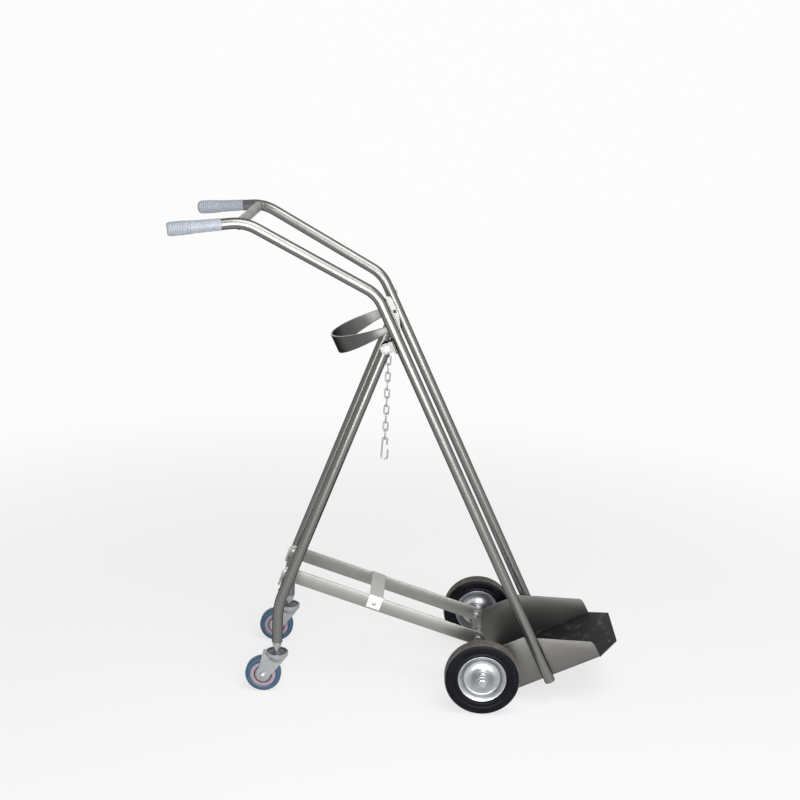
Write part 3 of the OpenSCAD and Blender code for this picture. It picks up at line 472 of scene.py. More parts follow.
    def warm(self, points, reach=0.018):
        """Marks how near each vertex lies to a weld."""
        for vert in self.bm.verts:
            gap = min((vert.co - p).length for p in points)
            vert[self.heat] = max(vert[self.heat], max(0.0, 1 - gap / reach) ** 1.5)

    def piece(self, name, body, materials, slot, replaces=(), sharp=40):
        """The finished object, riding on its body."""
        bmesh.ops.remove_doubles(self.bm, verts=self.bm.verts, dist=1e-6)
        bmesh.ops.recalc_face_normals(self.bm, faces=self.bm.faces)
        mesh = bpy.data.meshes.new(name)
        self.bm.to_mesh(mesh)
        self.bm.free()
        mesh.set_sharp_from_angle(angle=math.radians(sharp))
        for material in materials:
            mesh.materials.append(material)
        obj = bpy.data.objects.new(name, mesh)
        bpy.context.scene.collection.objects.link(obj)
        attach(obj, body)
        if replaces:
            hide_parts(*replaces)
        return obj


def add(tree, kind, settings=None, inputs=None):
    """Adds a node with its settings, and its inputs as values or links."""
    node = tree.nodes.new(kind)
    for name, value in (settings or {}).items():
        setattr(node, name, value)
    for name, value in (inputs or {}).items():
        if isinstance(value, bpy.types.NodeSocket):
            tree.links.new(value, node.inputs[name])
        else:
            node.inputs[name].default_value = value
    return node


def new_material(name):
    """Material with its empty tree and its output, or with no tree if it is there already."""
    found = bpy.data.materials.get(name)
    if found:
        return found, None, None
    material = bpy.data.materials.new(name)
    material.use_nodes = True
    tree = material.node_tree
    tree.nodes.clear()
    return material, tree, add(tree, "ShaderNodeOutputMaterial")


def colour(name):
    """One of the user's colours, with alpha."""
    return tuple(getattr(sizes_of("finishes"), name)) + (1.0,)


def darker(rgba, share):
    """The same colour at a share of its brightness."""
    return tuple(c * share for c in rgba[:3]) + (1.0,)


def satin_steel(name, tone, roughness=0.36, grain=(0.06, 0.0016), patch=0.03, way=None, contrast=0.8,
                rim=0.05):
    """Stainless steel, ground to a satin along its length: a metal with fine streaks in its
    sheen, soft patches from handling, and a straw tint where a weld has heated it. The grinding
    lines are some 0.05 mm apart, which can't show at this size, so they are drawn 2 mm apart."""
    material, tree, output = new_material(name)
    if not tree:
        return material
    space = add(tree, "ShaderNodeTexCoord").outputs["Object"]
    if way is None:
        source = add(tree, "ShaderNodeUVMap", {"uv_map": "grain"}).outputs["UV"]
        turn = (0, 0, 0)
    else:
        source = space
        turn = tuple(way.to_track_quat("X", "Z").to_euler())
    stretched = add(tree, "ShaderNodeMapping", {"vector_type": "TEXTURE"},
                    {"Vector": source, "Rotation": turn, "Scale": (grain[0], grain[1], grain[1])})
    streaks = add(tree, "ShaderNodeTexNoise", {}, {"Vector": stretched.outputs[0], "Scale": 1.0, "Detail": 3.0,
                                                   "Roughness": 0.6})
    patches = add(tree, "ShaderNodeTexNoise", {}, {"Vector": space, "Scale": 1 / patch, "Detail": 3.0,
                                                   "Roughness": 0.55})
    part = add(tree, "ShaderNodeMath", {"operation": "MULTIPLY"}, {0: streaks.outputs["Fac"], 1: 0.45})
    both = add(tree, "ShaderNodeMath", {"operation": "MULTIPLY_ADD"},
               {0: patches.outputs["Fac"], 1: 0.55, 2: part.outputs[0]})
    level = add(tree, "ShaderNodeMapRange", {}, {"Value": both.outputs[0], "From Min": 0.33, "From Max": 0.67})
    base = add(tree, "ShaderNodeMix", {"data_type": "RGBA"},
               {0: level.outputs[0], 6: darker(tone, contrast), 7: tone})
    heat = add(tree, "ShaderNodeAttribute", {"attribute_name": "heat"})
    tint = add(tree, "ShaderNodeMath", {"operation": "MULTIPLY"}, {0: heat.outputs["Fac"], 1: 0.5})
    tinted = add(tree, "ShaderNodeMix", {"data_type": "RGBA"},
                 {0: tint.outputs[0], 6: base.outputs[2], 7: linear("#776143")})
    gloss = add(tree, "ShaderNodeMapRange", {},
                {"Value": level.outputs[0], "To Min": roughness + 0.07, "To Max": roughness - 0.04})
    edge = add(tree, "ShaderNodeBevel", {"samples": 4}, {"Radius": 0.0005})
    relief = add(tree, "ShaderNodeBump", {}, {"Strength": 0.35, "Distance": 0.00004,
                                              "Height": streaks.outputs["Fac"], "Normal": edge.outputs[0]})
    shader = add(tree, "ShaderNodeBsdfPrincipled", {}, {
        "Base Color": tinted.outputs[2], "Metallic": 1.0, "Roughness": gloss.outputs[0],
        "Specular Tint": (rim, rim, rim, 1.0), "Normal": relief.outputs[0]})
    tree.links.new(shader.outputs[0], output.inputs[0])
    return material


def zinc_plate(name, tone, roughness=0.34, stain=0.0):
    """Bright zinc plating on pressed or turned steel: a pale metal with a faint cloudy grain and,
    where it has stood in the wet, small dull stains."""
    material, tree, output = new_material(name)
    if not tree:
        return material
    space = add(tree, "ShaderNodeTexCoord").outputs["Object"]
    clouds = add(tree, "ShaderNodeTexNoise", {}, {"Vector": space, "Scale": 1 / 0.004, "Detail": 2.0})
    broad = add(tree, "ShaderNodeTexNoise", {}, {"Vector": space, "Scale": 1 / 0.021, "Detail": 4.0,
                                                 "Roughness": 0.6})
    mixed = add(tree, "ShaderNodeMath", {"operation": "ADD"},
                {0: clouds.outputs["Fac"], 1: broad.outputs["Fac"]})
    level = add(tree, "ShaderNodeMapRange", {}, {"Value": mixed.outputs[0], "From Min": 0.75, "From Max": 1.25})
    base = add(tree, "ShaderNodeMix", {"data_type": "RGBA"},
               {0: level.outputs[0], 6: darker(tone, 0.78), 7: tone})
    spots = add(tree, "ShaderNodeTexNoise", {}, {"Vector": space, "Scale": 1 / 0.011, "Detail": 5.0,
                                                 "Roughness": 0.65})
    mask = add(tree, "ShaderNodeMapRange", {"interpolation_type": "SMOOTHSTEP"},
               {"Value": spots.outputs["Fac"], "From Min": 0.60, "From Max": 0.74, "To Max": stain})
    dulled = add(tree, "ShaderNodeMix", {"data_type": "RGBA"}, {0: mask.outputs[0], 6: base.outputs[2],
                                                                7: linear("#4E4C49")})
    gloss = add(tree, "ShaderNodeMath", {"operation": "MULTIPLY_ADD"},
                {0: mask.outputs[0], 1: 0.3, 2: roughness})
    edge = add(tree, "ShaderNodeBevel", {"samples": 4}, {"Radius": 0.0004})
    relief = add(tree, "ShaderNodeBump", {}, {"Strength": 0.3, "Distance": 0.00005,
                                              "Height": clouds.outputs["Fac"], "Normal": edge.outputs[0]})
    shader = add(tree, "ShaderNodeBsdfPrincipled", {}, {
        "Base Color": dulled.outputs[2], "Metallic": 1.0, "Roughness": gloss.outputs[0],
        "Normal": relief.outputs[0]})
    tree.links.new(shader.outputs[0], output.inputs[0])
    return material


def moulded(name, tone, roughness=0.5, ior=1.5, grit=0.0006, dust="#6B6762", dusty=0.15, depth=0.00004,
            glow=0.0, shine=0.5):
    """Moulded rubber or plastic: one body colour, a fine pebble from the mould, and dust that
    settles in clouds and dulls the sheen."""
    material, tree, output = new_material(name)
    if not tree:
        return material
    space = add(tree, "ShaderNodeTexCoord").outputs["Object"]
    pebble = add(tree, "ShaderNodeTexNoise", {}, {"Vector": space, "Scale": 1 / grit, "Detail": 2.0})
    clouds = add(tree, "ShaderNodeTexNoise", {}, {"Vector": space, "Scale": 1 / 0.018, "Detail": 5.0,
                                                  "Roughness": 0.62})
    settled = add(tree, "ShaderNodeMapRange", {"interpolation_type": "SMOOTHSTEP"},
                  {"Value": clouds.outputs["Fac"], "From Min": 0.42, "From Max": 0.75, "To Max": dusty})
    base = add(tree, "ShaderNodeMix", {"data_type": "RGBA"}, {0: settled.outputs[0], 6: tone, 7: linear(dust)})
    gloss = add(tree, "ShaderNodeMath", {"operation": "MULTIPLY_ADD"},
                {0: settled.outputs[0], 1: 0.6, 2: roughness})
    relief = add(tree, "ShaderNodeBump", {}, {"Strength": 0.5, "Distance": depth,
                                              "Height": pebble.outputs["Fac"]})
    shader = add(tree, "ShaderNodeBsdfPrincipled", {}, {
        "Base Color": base.outputs[2], "Roughness": gloss.outputs[0], "IOR": ior,
        "Specular IOR Level": shine, "Normal": relief.outputs[0], "Subsurface Weight": glow,
        "Subsurface Radius": (0.004, 0.004, 0.006), "Subsurface Scale": 0.6})
    tree.links.new(shader.outputs[0], output.inputs[0])
    return material


def shaded_worn_floor_steel(name, tone):
    """Rolled steel in a dull, nearly black tone that is painted shade on the tray floor's top face, rubbed paler
    in spots where loads have stood and slid on it."""
    material, tree, output = new_material(name)
    if not tree:
        return material
    space = add(tree, "ShaderNodeTexCoord").outputs["Object"]
    rub_noise = add(tree, "ShaderNodeTexNoise", {}, {"Vector": space, "Scale": 1 / 0.028, "Detail": 6.0,
                                                 "Roughness": 0.6})
    rubbed = add(tree, "ShaderNodeMapRange", {"interpolation_type": "SMOOTHSTEP"},
                 {"Value": rub_noise.outputs["Fac"], "From Min": 0.5, "From Max": 0.72})
    stretched = add(tree, "ShaderNodeMapping", {"vector_type": "TEXTURE"},
                    {"Vector": space, "Scale": (0.03, 0.0015, 0.03)})
    scratches = add(tree, "ShaderNodeTexNoise", {}, {"Vector": stretched.outputs[0], "Scale": 1.0,
                                                     "Detail": 4.0})
    lines = add(tree, "ShaderNodeMapRange", {}, {"Value": scratches.outputs["Fac"], "From Min": 0.58,
                                                 "From Max": 0.7, "To Max": 0.35})
    worn = add(tree, "ShaderNodeMath", {"operation": "MAXIMUM"}, {0: rubbed.outputs[0], 1: lines.outputs[0]})
    base = add(tree, "ShaderNodeMix", {"data_type": "RGBA"},
               {0: worn.outputs[0], 6: tone, 7: linear("#3B3D40")})
    gloss = add(tree, "ShaderNodeMapRange", {}, {"Value": worn.outputs[0], "To Min": 0.62, "To Max": 0.45})
    relief = add(tree, "ShaderNodeBump", {}, {"Strength": 0.3, "Distance": 0.0001,
                                              "Height": rub_noise.outputs["Fac"]})
    shader = add(tree, "ShaderNodeBsdfPrincipled", {}, {
        "Base Color": base.outputs[2], "Metallic": 0.2, "Roughness": gloss.outputs[0],
        "Specular IOR Level": 0.25, "Normal": relief.outputs[0]})
    tree.links.new(shader.outputs[0], output.inputs[0])
    return material


def seen_share(tree, share):
    """A share for rays from the eye and for what metal and glass show, and none for others."""
    rays = add(tree, "ShaderNodeLightPath").outputs
    seen = add(tree, "ShaderNodeMath", {"operation": "ADD"},
               {0: rays["Is Camera Ray"], 1: rays["Is Glossy Ray"]})
    every = add(tree, "ShaderNodeMath", {"operation": "ADD", "use_clamp": True},
                {0: seen.outputs[0], 1: rays["Is Transmission Ray"]})
    return add(tree, "ShaderNodeMath", {"operation": "MULTIPLY"}, {0: every.outputs[0], 1: share}).outputs[0]


def matt_paper(name, tone):
    """Matt studio paper: an even pale sheet with no shine. Where the eye, metal and glass see it, it
    is evened out towards white, least near the trolley, so that it still holds the shadow there."""
    material, tree, output = new_material(name)
    space = add(tree, "ShaderNodeTexCoord").outputs["Object"]
    fibre = add(tree, "ShaderNodeTexNoise", {}, {"Vector": space, "Scale": 9.0, "Detail": 2.0})
    base = add(tree, "ShaderNodeMix", {"data_type": "RGBA"}, {0: fibre.outputs["Fac"], 6: darker(tone, 0.99),
                                                              7: tone})
    shader = add(tree, "ShaderNodeBsdfPrincipled", {}, {"Base Color": base.outputs[2], "Roughness": 0.95,
                                                        "Specular IOR Level": 0.1})
    white = add(tree, "ShaderNodeEmission", {}, {"Color": (1.0, 1.0, 1.0, 1.0), "Strength": 1.0})
    away = add(tree, "ShaderNodeVectorMath", {"operation": "LENGTH"}, {0: space}).outputs["Value"]
    share = add(tree, "ShaderNodeMapRange", {"interpolation_type": "SMOOTHSTEP"},
                {"Value": away, "From Min": 0.7, "From Max": 2.4, "To Min": 0.7, "To Max": 0.96})
    both = add(tree, "ShaderNodeMixShader", {}, {0: seen_share(tree, share.outputs[0]), 1: shader.outputs[0],
                                                 2: white.outputs[0]})
    tree.links.new(both.outputs[0], output.inputs[0])
    return material


def tube_steel():
    """Satin steel of the side tubes and the legs."""
    return satin_steel("satin_stainless_tube", colour("tube"), 0.26, (0.11, 0.0022), 0.045)


def bar_steel():
    """Satin steel of the brace bars and the lugs."""
    return satin_steel("satin_stainless_plate", colour("plate"))


def upright_steel():
    """The same steel, in shade, on CAD nodes, its grain up the tubes."""
    return satin_steel("satin_stainless_upright", darker(colour("plate"), 0.6), way=tube_way())


def bead_steel():
    """Dull steel of the weld beads."""
    return satin_steel("weld_bead_steel", darker(colour("plate"), 0.8), 0.38, (0.004, 0.002), 0.008)


def bright_zinc():
    """Zinc plating of screws, pins and stems."""
    return zinc_plate("bright_zinc_plate", colour("zinc"))


def dress(material, *nodes):
    """Gives CAD nodes whose shape is right a better finish."""
    for node in nodes:
        obj = frame["nodes"][node]
        if obj.material_slots:
            for place in obj.material_slots:
                place.material = material
        else:
            obj.data.materials.append(material)


class TROLLEY_OT_tubes(bpy.types.Operator):
    """Bend the two side tubes and weld the cross tube between the handles"""
    bl_idname = "trolley.tubes"
    bl_label = "Side Tubes"

    def execute(self, context):
        sizes = sizes_of("tubes")
        radius, half = sizes.diameter / 2, tube_half()
        cross = middle("handle_cross_tube")
        saddle_up = (middle("saddle_band") - tilted(0, 0, 0)).dot(tube_way())
        for name, side in SIDES.items():
            line = spaced(bent(tube_corners(side), [sizes.lower_radius, sizes.upper_radius]), 0.012)
            tube = Shape()
            tube.pipe(line, radius, sizes.wall)
            tube.warm([Vector((cross.x, side * sizes.apex_half * 0.93, cross.z)),
                       tilted(0, side * LOAD_HALF, saddle_up)]
                      + [tilted(-radius, side * half, saddle_up - down) for down in (0.045, 0.025)]
                      + [tilted(0, side * LOAD_HALF, 0.01 + 0.02 * k) for k in range(5)])
            tube.piece(f"bent_side_tube_{name}", "frame", [tube_steel()], "stainless_tube",
                       [f"side_tube_{name}"])
        dress(satin_steel("satin_stainless_cross_tube", colour("tube"), 0.24, (0.11, 0.0022), 0.045, ACROSS,
                          rim=0.8), "handle_cross_tube")
        self.weld(cross, extent("handle_cross_tube").x / 2, radius)
        return {"FINISHED"}

    def weld(self, cross, cross_radius, radius):
        """Beads round both ends of the cross tube."""
        beads = Shape()
        for side in SIDES.values():
            apex, end = tube_corners(side)[2:]
            along = (end - apex).normalized()
            level = along.cross(ACROSS).normalized()
            ring = []
            for point in hoop(Vector((cross.x, 0, cross.z)), cross_radius, 40):
                drop = abs((point - apex).dot(level))
                reach = math.sqrt(max(0.0, radius ** 2 - drop ** 2))
                centre_y = apex.y + along.y * (point.x - apex.x) / along.x
                ring.append(Vector((point.x, centre_y - side * (reach + 0.0004), point.z)))
            beads.bead(ring, sizes_of("tubes").bead * 0.8)
        beads.piece("cross_tube_welds", "frame", [bead_steel()], "stainless_tube")


class TROLLEY_OT_grips(bpy.types.Operator):
    """Pull the ringed vinyl grips over the handle ends"""
    bl_idname = "trolley.grips"
    bl_label = "Handle Grips"

    def execute(self, context):
        vinyl = moulded("soft_vinyl_grip", colour("grip"), roughness=0.4, ior=1.53, grit=0.0011,
                        dust="#787C89", dusty=0.22, depth=0.00005, glow=0.25)
        profile = self.profile(sizes_of("grips"), sizes_of("tubes").diameter / 2 + 0.00005)
        for name, side in SIDES.items():
            apex, end = tube_corners(side)[2:]
            grip = Shape()
            grip.lathe(profile, end, (end - apex).normalized(), segments=72)
            grip.piece(f"ringed_grip_{name}", "frame", [vinyl], "grip_plastic", [f"grip_{name}"], sharp=60)
        return {"FINISHED"}

    def profile(self, sizes, bore):
        """Half section of a grip: open end, swelling with raised rings, round closed end."""
        closed_r, open_r = sizes.closed_diameter / 2, sizes.open_diameter / 2
        skin, round_r = 0.0006, 0.0045
        start = sizes.end_wall - sizes.span
        last = sizes.end_wall - round_r
        first = last - 0.003 - (sizes.rings - 1) * sizes.ring_pitch
        taper = (closed_r - open_r) / (sizes.span - round_r)
        profile = [(bore, start + 0.001), (bore + 0.0003, start), (open_r - 0.0010, start),
                   (open_r - 0.0005, start + 0.0004), (open_r - 0.0004, start + 0.0012)]
        steps, body = 150, start + 0.002
        for z in (body + (last - body) * k / steps for k in range(steps + 1)):
            swell = 0.0007 * math.exp(-((z - (first + last) / 2) / 0.022) ** 2)
            r = closed_r - taper * (last - z) + swell - skin
            place = (z - first) / sizes.ring_pitch
            if -0.5 < place < sizes.rings - 0.5:
                r += 0.0009 * max(0.0, math.cos(2 * math.pi * place)) ** 1.5
            profile.append((r, z))
        profile += arc(closed_r - skin - round_r, last, round_r, 10, 90)
        return profile + [(closed_r * 0.3, sizes.end_wall - 0.0001), (0.0, sizes.end_wall - 0.0002),
                          (0.0, 0.0002), (bore, 0.0002)]


class TROLLEY_OT_saddle(bpy.types.Operator):
    """Bend the saddle band round the back of the load space, with its pin and hook plate"""
    bl_idname = "trolley.saddle"
    bl_label = "Saddle Band"

    def execute(self, context):
        sizes = sizes_of("saddle")
        self.band(sizes)
        beads = Shape()
        for side in SIDES.values():
            for edge in (-1, 1):
                beads.bead([tilted(-0.009 * k / 6 - 0.001, side * (LOAD_HALF + 0.0004 + 0.0045 * (k / 6) ** 2),
                                   sizes.up + edge * (sizes.front / 2 + 0.0003)) for k in range(7)], 0.0018)
            beads.bead([tilted(-0.0098, side * (LOAD_HALF + 0.0008), sizes.up - sizes.front / 2
                               + sizes.front * k / 8) for k in range(9)], 0.0018)
        low, high = 0.804, 0.880
        forward = sizes_of("tubes").diameter / 2 + 0.0004
        for y in (-0.0022, 0.0022):
            beads.bead([tilted(forward, y - tube_half(), low + 0.002 + (high - low - 0.006) * k / 20)
                        for k in range(21)], 0.0016)
        beads.piece("saddle_and_plate_welds", "frame", [bead_steel()], "stainless_plate")
        dress(upright_steel(), "chain_hook_plate")
        dress(bright_zinc(), "chain_anchor_pin")
        return {"FINISHED"}

    def band(self, sizes):
        """Band bent round a half circle, its faces a darker steel as painted shade and its edges paler as a
        painted highlight.
        """
        centre_line = LOAD_HALF - sizes.thick / 2
        stations = [(forward, -centre_line, Vector((0, -1)), sizes.front) for forward in (0.0, -0.01)]
        for t in (math.radians(3 * k) for k in range(61)):
            out = Vector((-math.sin(t), -math.cos(t)))
            stations.append((-sizes.reach + out.x * centre_line, out.y * centre_line, out,
                             sizes.front + (sizes.back - sizes.front) * math.sin(t)))
        stations += [(forward, centre_line, Vector((0, 1)), sizes.front) for forward in (-0.01, 0.0)]
        rings = []
        for forward, across, out, height in stations:
            a, b = sizes.thick / 2, height / 2
            rings.append([tilted(forward + out.x * p.x, across + out.y * p.x, sizes.up + p.y)
                          for p in rounded([(-a, -b), (a, -b), (a, b), (-a, b)], 0.0016)])
        band = Shape()
        band.rings(rings, caps=True)
        band.bm.normal_update()
        rise = tube_way()
        # The faces that look along the tubes, the band's top and bottom edges, take the paler steel as a painted
        # highlight.
        for face in band.bm.faces:
            if abs(face.normal.dot(rise)) > 0.55:
                face.material_index = 1
        band.warm([tilted(0, s * LOAD_HALF, sizes.up + h) for s in (-1, 1) for h in (-0.006, 0.006)], 0.03)
        band.piece("bent_saddle_band", "frame",
                   [satin_steel("satin_stainless_band", colour("band"), 0.34, (0.05, 0.0016)),
                    satin_steel("rubbed_stainless_edge", colour("rubbed"), 0.4, (0.02, 0.0016), 0.012, rim=0.8)],
                   "stainless_plate", ["saddle_band"])


class TROLLEY_OT_tray(bpy.types.Operator):
    """Fold the tray from one sheet, with welded side tubes and a worn floor whose top face is painted nearly
    black as shade
    """
    bl_idname = "trolley.tray"
    bl_label = "Tray"

    def execute(self, context):
        sizes = sizes_of("tray")
        tray = Shape()
        self.cheeks(tray, sizes)
        corner, fold = sizes.toe - sizes.cut, sizes.fold
        half = [(-sizes.back, LOAD_HALF - fold), (corner - 0.002, LOAD_HALF - fold),
                (corner - 0.001, LOAD_HALF - 0.0008), (corner, LOAD_HALF), (sizes.toe, LOAD_HALF - sizes.cut)]
        floor = [Vector((a, -b)) for a, b in half] + [Vector(p) for p in reversed(half)]
        tray.plate(floor, [], tilted, 0.0, PLATE)
        tray.bm.normal_update()
        # The floor's top face takes the nearly black second material: painted shade, with rubbed wear spots.
        for face in tray.bm.faces:
            centre = face.calc_center_median()
            depth = (centre - tilted(0, 0, 0)).dot(tube_way())
            if abs(centre.y) < LOAD_HALF - PLATE / 2 and 0.0025 < depth < 0.0055:
                face.material_index = 1
        tray.warm([tilted(0, s * LOAD_HALF, 0.008 + 0.012 * k) for s in (-1, 1) for k in range(8)])
        steel = satin_steel("satin_stainless_sheet", colour("sheet"), 0.42, (0.08, 0.003), 0.05, contrast=0.84)
        tray.piece("folded_tray", "frame", [steel, shaded_worn_floor_steel("scaled_floor_steel", colour("toe"))],
                   "stainless_sheet", ["tray"])
        beads = Shape()
        for side in SIDES.values():
            for edge in (-0.0034, 0.0034):
                for start in (0.006, 0.040, 0.072):
                    beads.bead([tilted(edge, side * (LOAD_HALF + 0.0006), start + 0.018 * k / 12)
                                for k in range(13)], 0.0016)
        beads.piece("tray_welds", "frame", [bead_steel()], "stainless_sheet")
        return {"FINISHED"}

    def cheeks(self, tray, sizes):
        """Both cheeks, each with a hole for the axle, and the folds that join them to the floor."""
        front, nose_h, top, fold = sizes.front, sizes.nose, sizes.cheek, sizes.fold
        back, nose = sizes.axle_back, 0.009
        cheek = [Vector(p) for p in (
            (-sizes.back, fold), (front - 0.0002, fold), (front - 0.12 * nose, nose_h - 1.5 * nose),
            (front - 0.35 * nose, nose_h - 0.7 * nose), (front - 0.7 * nose, nose_h - 0.2 * nose),
            (front - 1.2 * nose, nose_h), (-0.015, top), (-back - 0.010, top),
            (-back - 0.018, top - 0.008), (-back - 0.018, 0.062))]
        hole = arc(-back, sizes.axle_up, 0.0082, 0, 345, 23)
        bend = LOAD_HALF - fold
        section = arc(bend, fold, fold, 0, -90, 6) + arc(bend, fold, fold - PLATE, -90, 0, 6)
        for side in SIDES.values():
            tray.plate(cheek, [hole], lambda a, b, h: tilted(a, side * h, b), LOAD_HALF - PLATE, LOAD_HALF)
            tray.rings([[tilted(u, side * y, v) for y, v in section]
                        for u in (-sizes.back, -sizes.back / 2, 0, front)], caps=True)


class TROLLEY_OT_wheels(bpy.types.Operator):
    """Build the main wheels: tyre, pressed rims, hub, bearings and axle"""
    bl_idname = "trolley.wheels"
    bl_label = "Main Wheels"

    def execute(self, context):
        sizes = sizes_of("wheels")
        # The second, tread material is pale partly from dust and partly as painted light from above.
        rubber = [moulded("black_tyre_rubber", colour("tyre"), roughness=0.4, ior=1.52, grit=0.0009,
                          dust="#30353C", dusty=0.10, shine=0.1),
                  moulded("dusty_tread_rubber", colour("tread"), roughness=0.75, ior=1.52, grit=0.0008,
                          dust="#797169", dusty=0.6, depth=0.0001)]
        pressed = zinc_plate("pressed_rim_zinc", colour("zinc"), 0.36, 0.5)
        turned_zinc = zinc_plate("turned_hub_zinc", colour("zinc"), 0.28)
        seal = moulded("bearing_seal_rubber", colour("seal"), dusty=0.2)
        for name, side in SIDES.items():
            where = (name, f"wheel_{name}", middle(f"tyre_{name}"), ACROSS * side)
            half, radius = extent(f"tyre_{name}").yz / 2
            self.tyre(*where, half, radius, sizes, rubber)
            self.rims(*where, sizes, pressed)
            self.hub(*where, sizes, turned_zinc, seal)
        dress(bright_zinc(), "main_axle", "axle_spacers")
        return {"FINISHED"}

    def tyre(self, name, body, centre, axis, half, radius, sizes, materials):
        """Solid rubber tyre with moulded steps on its sides and a ribbed tread."""
        rim, shoulder = sizes.rim_diameter / 2, sizes.shoulder
        steps = ((0.0004, 0.004), (0.0006, 0.0010), (0.0018, 0.0002), (0.0030, 0), (0.0055, 0),
                 (0.0062, 0.0006), (0.0100, 0.0006), (0.0108, 0.0001), (0.0125, 0))
        lower = [(rim + out, deep - half) for out, deep in steps]
        lower += arc(radius - shoulder, shoulder - half, shoulder, -90, -18)
        crown = []
        flat = half - shoulder + 0.001
        for k in range(sizes.grooves):
            y = -flat + 2 * flat * (k + 0.5) / sizes.grooves
            crown += [(radius, y - 0.0009), (radius - sizes.groove_depth, y - 0.0005),
                      (radius - sizes.groove_depth, y + 0.0005), (radius, y + 0.0009)]
        upper = mirrored(lower)[len(lower):]
        zones = [0] * (len(lower) - 4) + [1] * (len(crown) + 7) + [0] * (len(lower) - 3)
        tyre = Shape()
        tyre.lathe(lower + crown + upper, centre, axis, segments=144, slot=zones)
        tyre.piece(f"ribbed_tyre_{name}", body, materials, "wheel_rubber", [f"tyre_{name}"], sharp=50)

    def rims(self, name, body, centre, axis, sizes, metal):
        """Two pressed half rims with a rolled flange, a flat ring and a dished centre."""
        rim = sizes.rim_diameter / 2
        hub = sizes.hub_diameter / 2 + 0.00005
        face = [(hub, 0.0125), (hub + 0.0010, 0.0123), (hub + 0.0022, 0.0100), (hub + 0.0045, 0.0074)]
        face += [(share * rim, rise) for share, rise in (
            (0.475, 0.0056), (0.54, 0.0044), (0.60, 0.0036), (0.715, 0.0032), (0.745, 0.0037),
            (0.768, 0.0050), (0.796, 0.0072), (0.842, 0.0096), (0.891, 0.0114), (0.935, 0.0127),
            (0.963, 0.0131), (0.985, 0.0130))]
        flange = [(rim - 0.0002, 0.0123), (rim, 0.0112), (rim, 0.0002), (rim - 0.0015, 0.0002),
                  (rim - 0.0015, 0.0104)]
        back = [(share * rim, rise) for share, rise in (
            (0.930, 0.0110), (0.880, 0.0097), (0.828, 0.0078), (0.776, 0.0052), (0.750, 0.0029),
            (0.730, 0.0018), (0.600, 0.0020), (0.525, 0.0028), (0.455, 0.0042))]
        profile = rounded(face + flange + back + [(hub + 0.0030, 0.0062), (hub, 0.0100)], 0.0009, steps=2)
        for label, flip in (("outer", 1), ("inner", -1)):
            rim_shape = Shape()
            rim_shape.lathe(profile, centre, axis * flip, segments=128)
            rim_shape.piece(f"pressed_rim_{label}_{name}", body, [metal], "zinc_steel",
                            [f"rim_{label}_{name}"], sharp=50)

    def hub(self, name, body, centre, axis, sizes, metal, seal):
        """Turned hub sleeve with a sealed bearing at each end."""
        half, outer = sizes.hub_length / 2, sizes.hub_diameter / 2
        seat_r, seat = 0.013, half - 0.0095
        end = [(seat_r, half), (outer - 0.0030, half), (outer - 0.0022, half - 0.0006),
               (outer - 0.0016, half - 0.0034), (outer - 0.0003, half - 0.0046), (outer, half - 0.0058)]
        bore = [(seat_r, -seat), (seat_r - 0.003, -seat), (seat_r - 0.003, seat), (seat_r, seat)]
        sleeve = Shape()
        sleeve.lathe(rounded(mirrored(end) + bore, 0.0004, steps=2), centre, axis)
        sleeve.piece(f"turned_hub_{name}", body, [metal], "zinc_steel", [f"hub_{name}"], sharp=50)
        races = Shape()
        inner = (0.00605, 0.00825)
        seal_out = 0.0107
        for way in (-1, 1):
            for (low_r, high_r), sunk, slot in ((inner, 0.0, 0), ((seal_out, 0.01297), 0.0, 0),
                                                ((inner[1], seal_out), 0.0004, 1)):
                near, far = way * (half - 0.0015 - sunk), way * seat
                races.lathe([(low_r, far), (low_r, near), (high_r, near), (high_r, far)], centre, axis,
                            segments=64, slot=slot)
        races.piece(f"sealed_bearings_{name}", body, [metal, seal], "dark_steel", [f"bearings_{name}"])


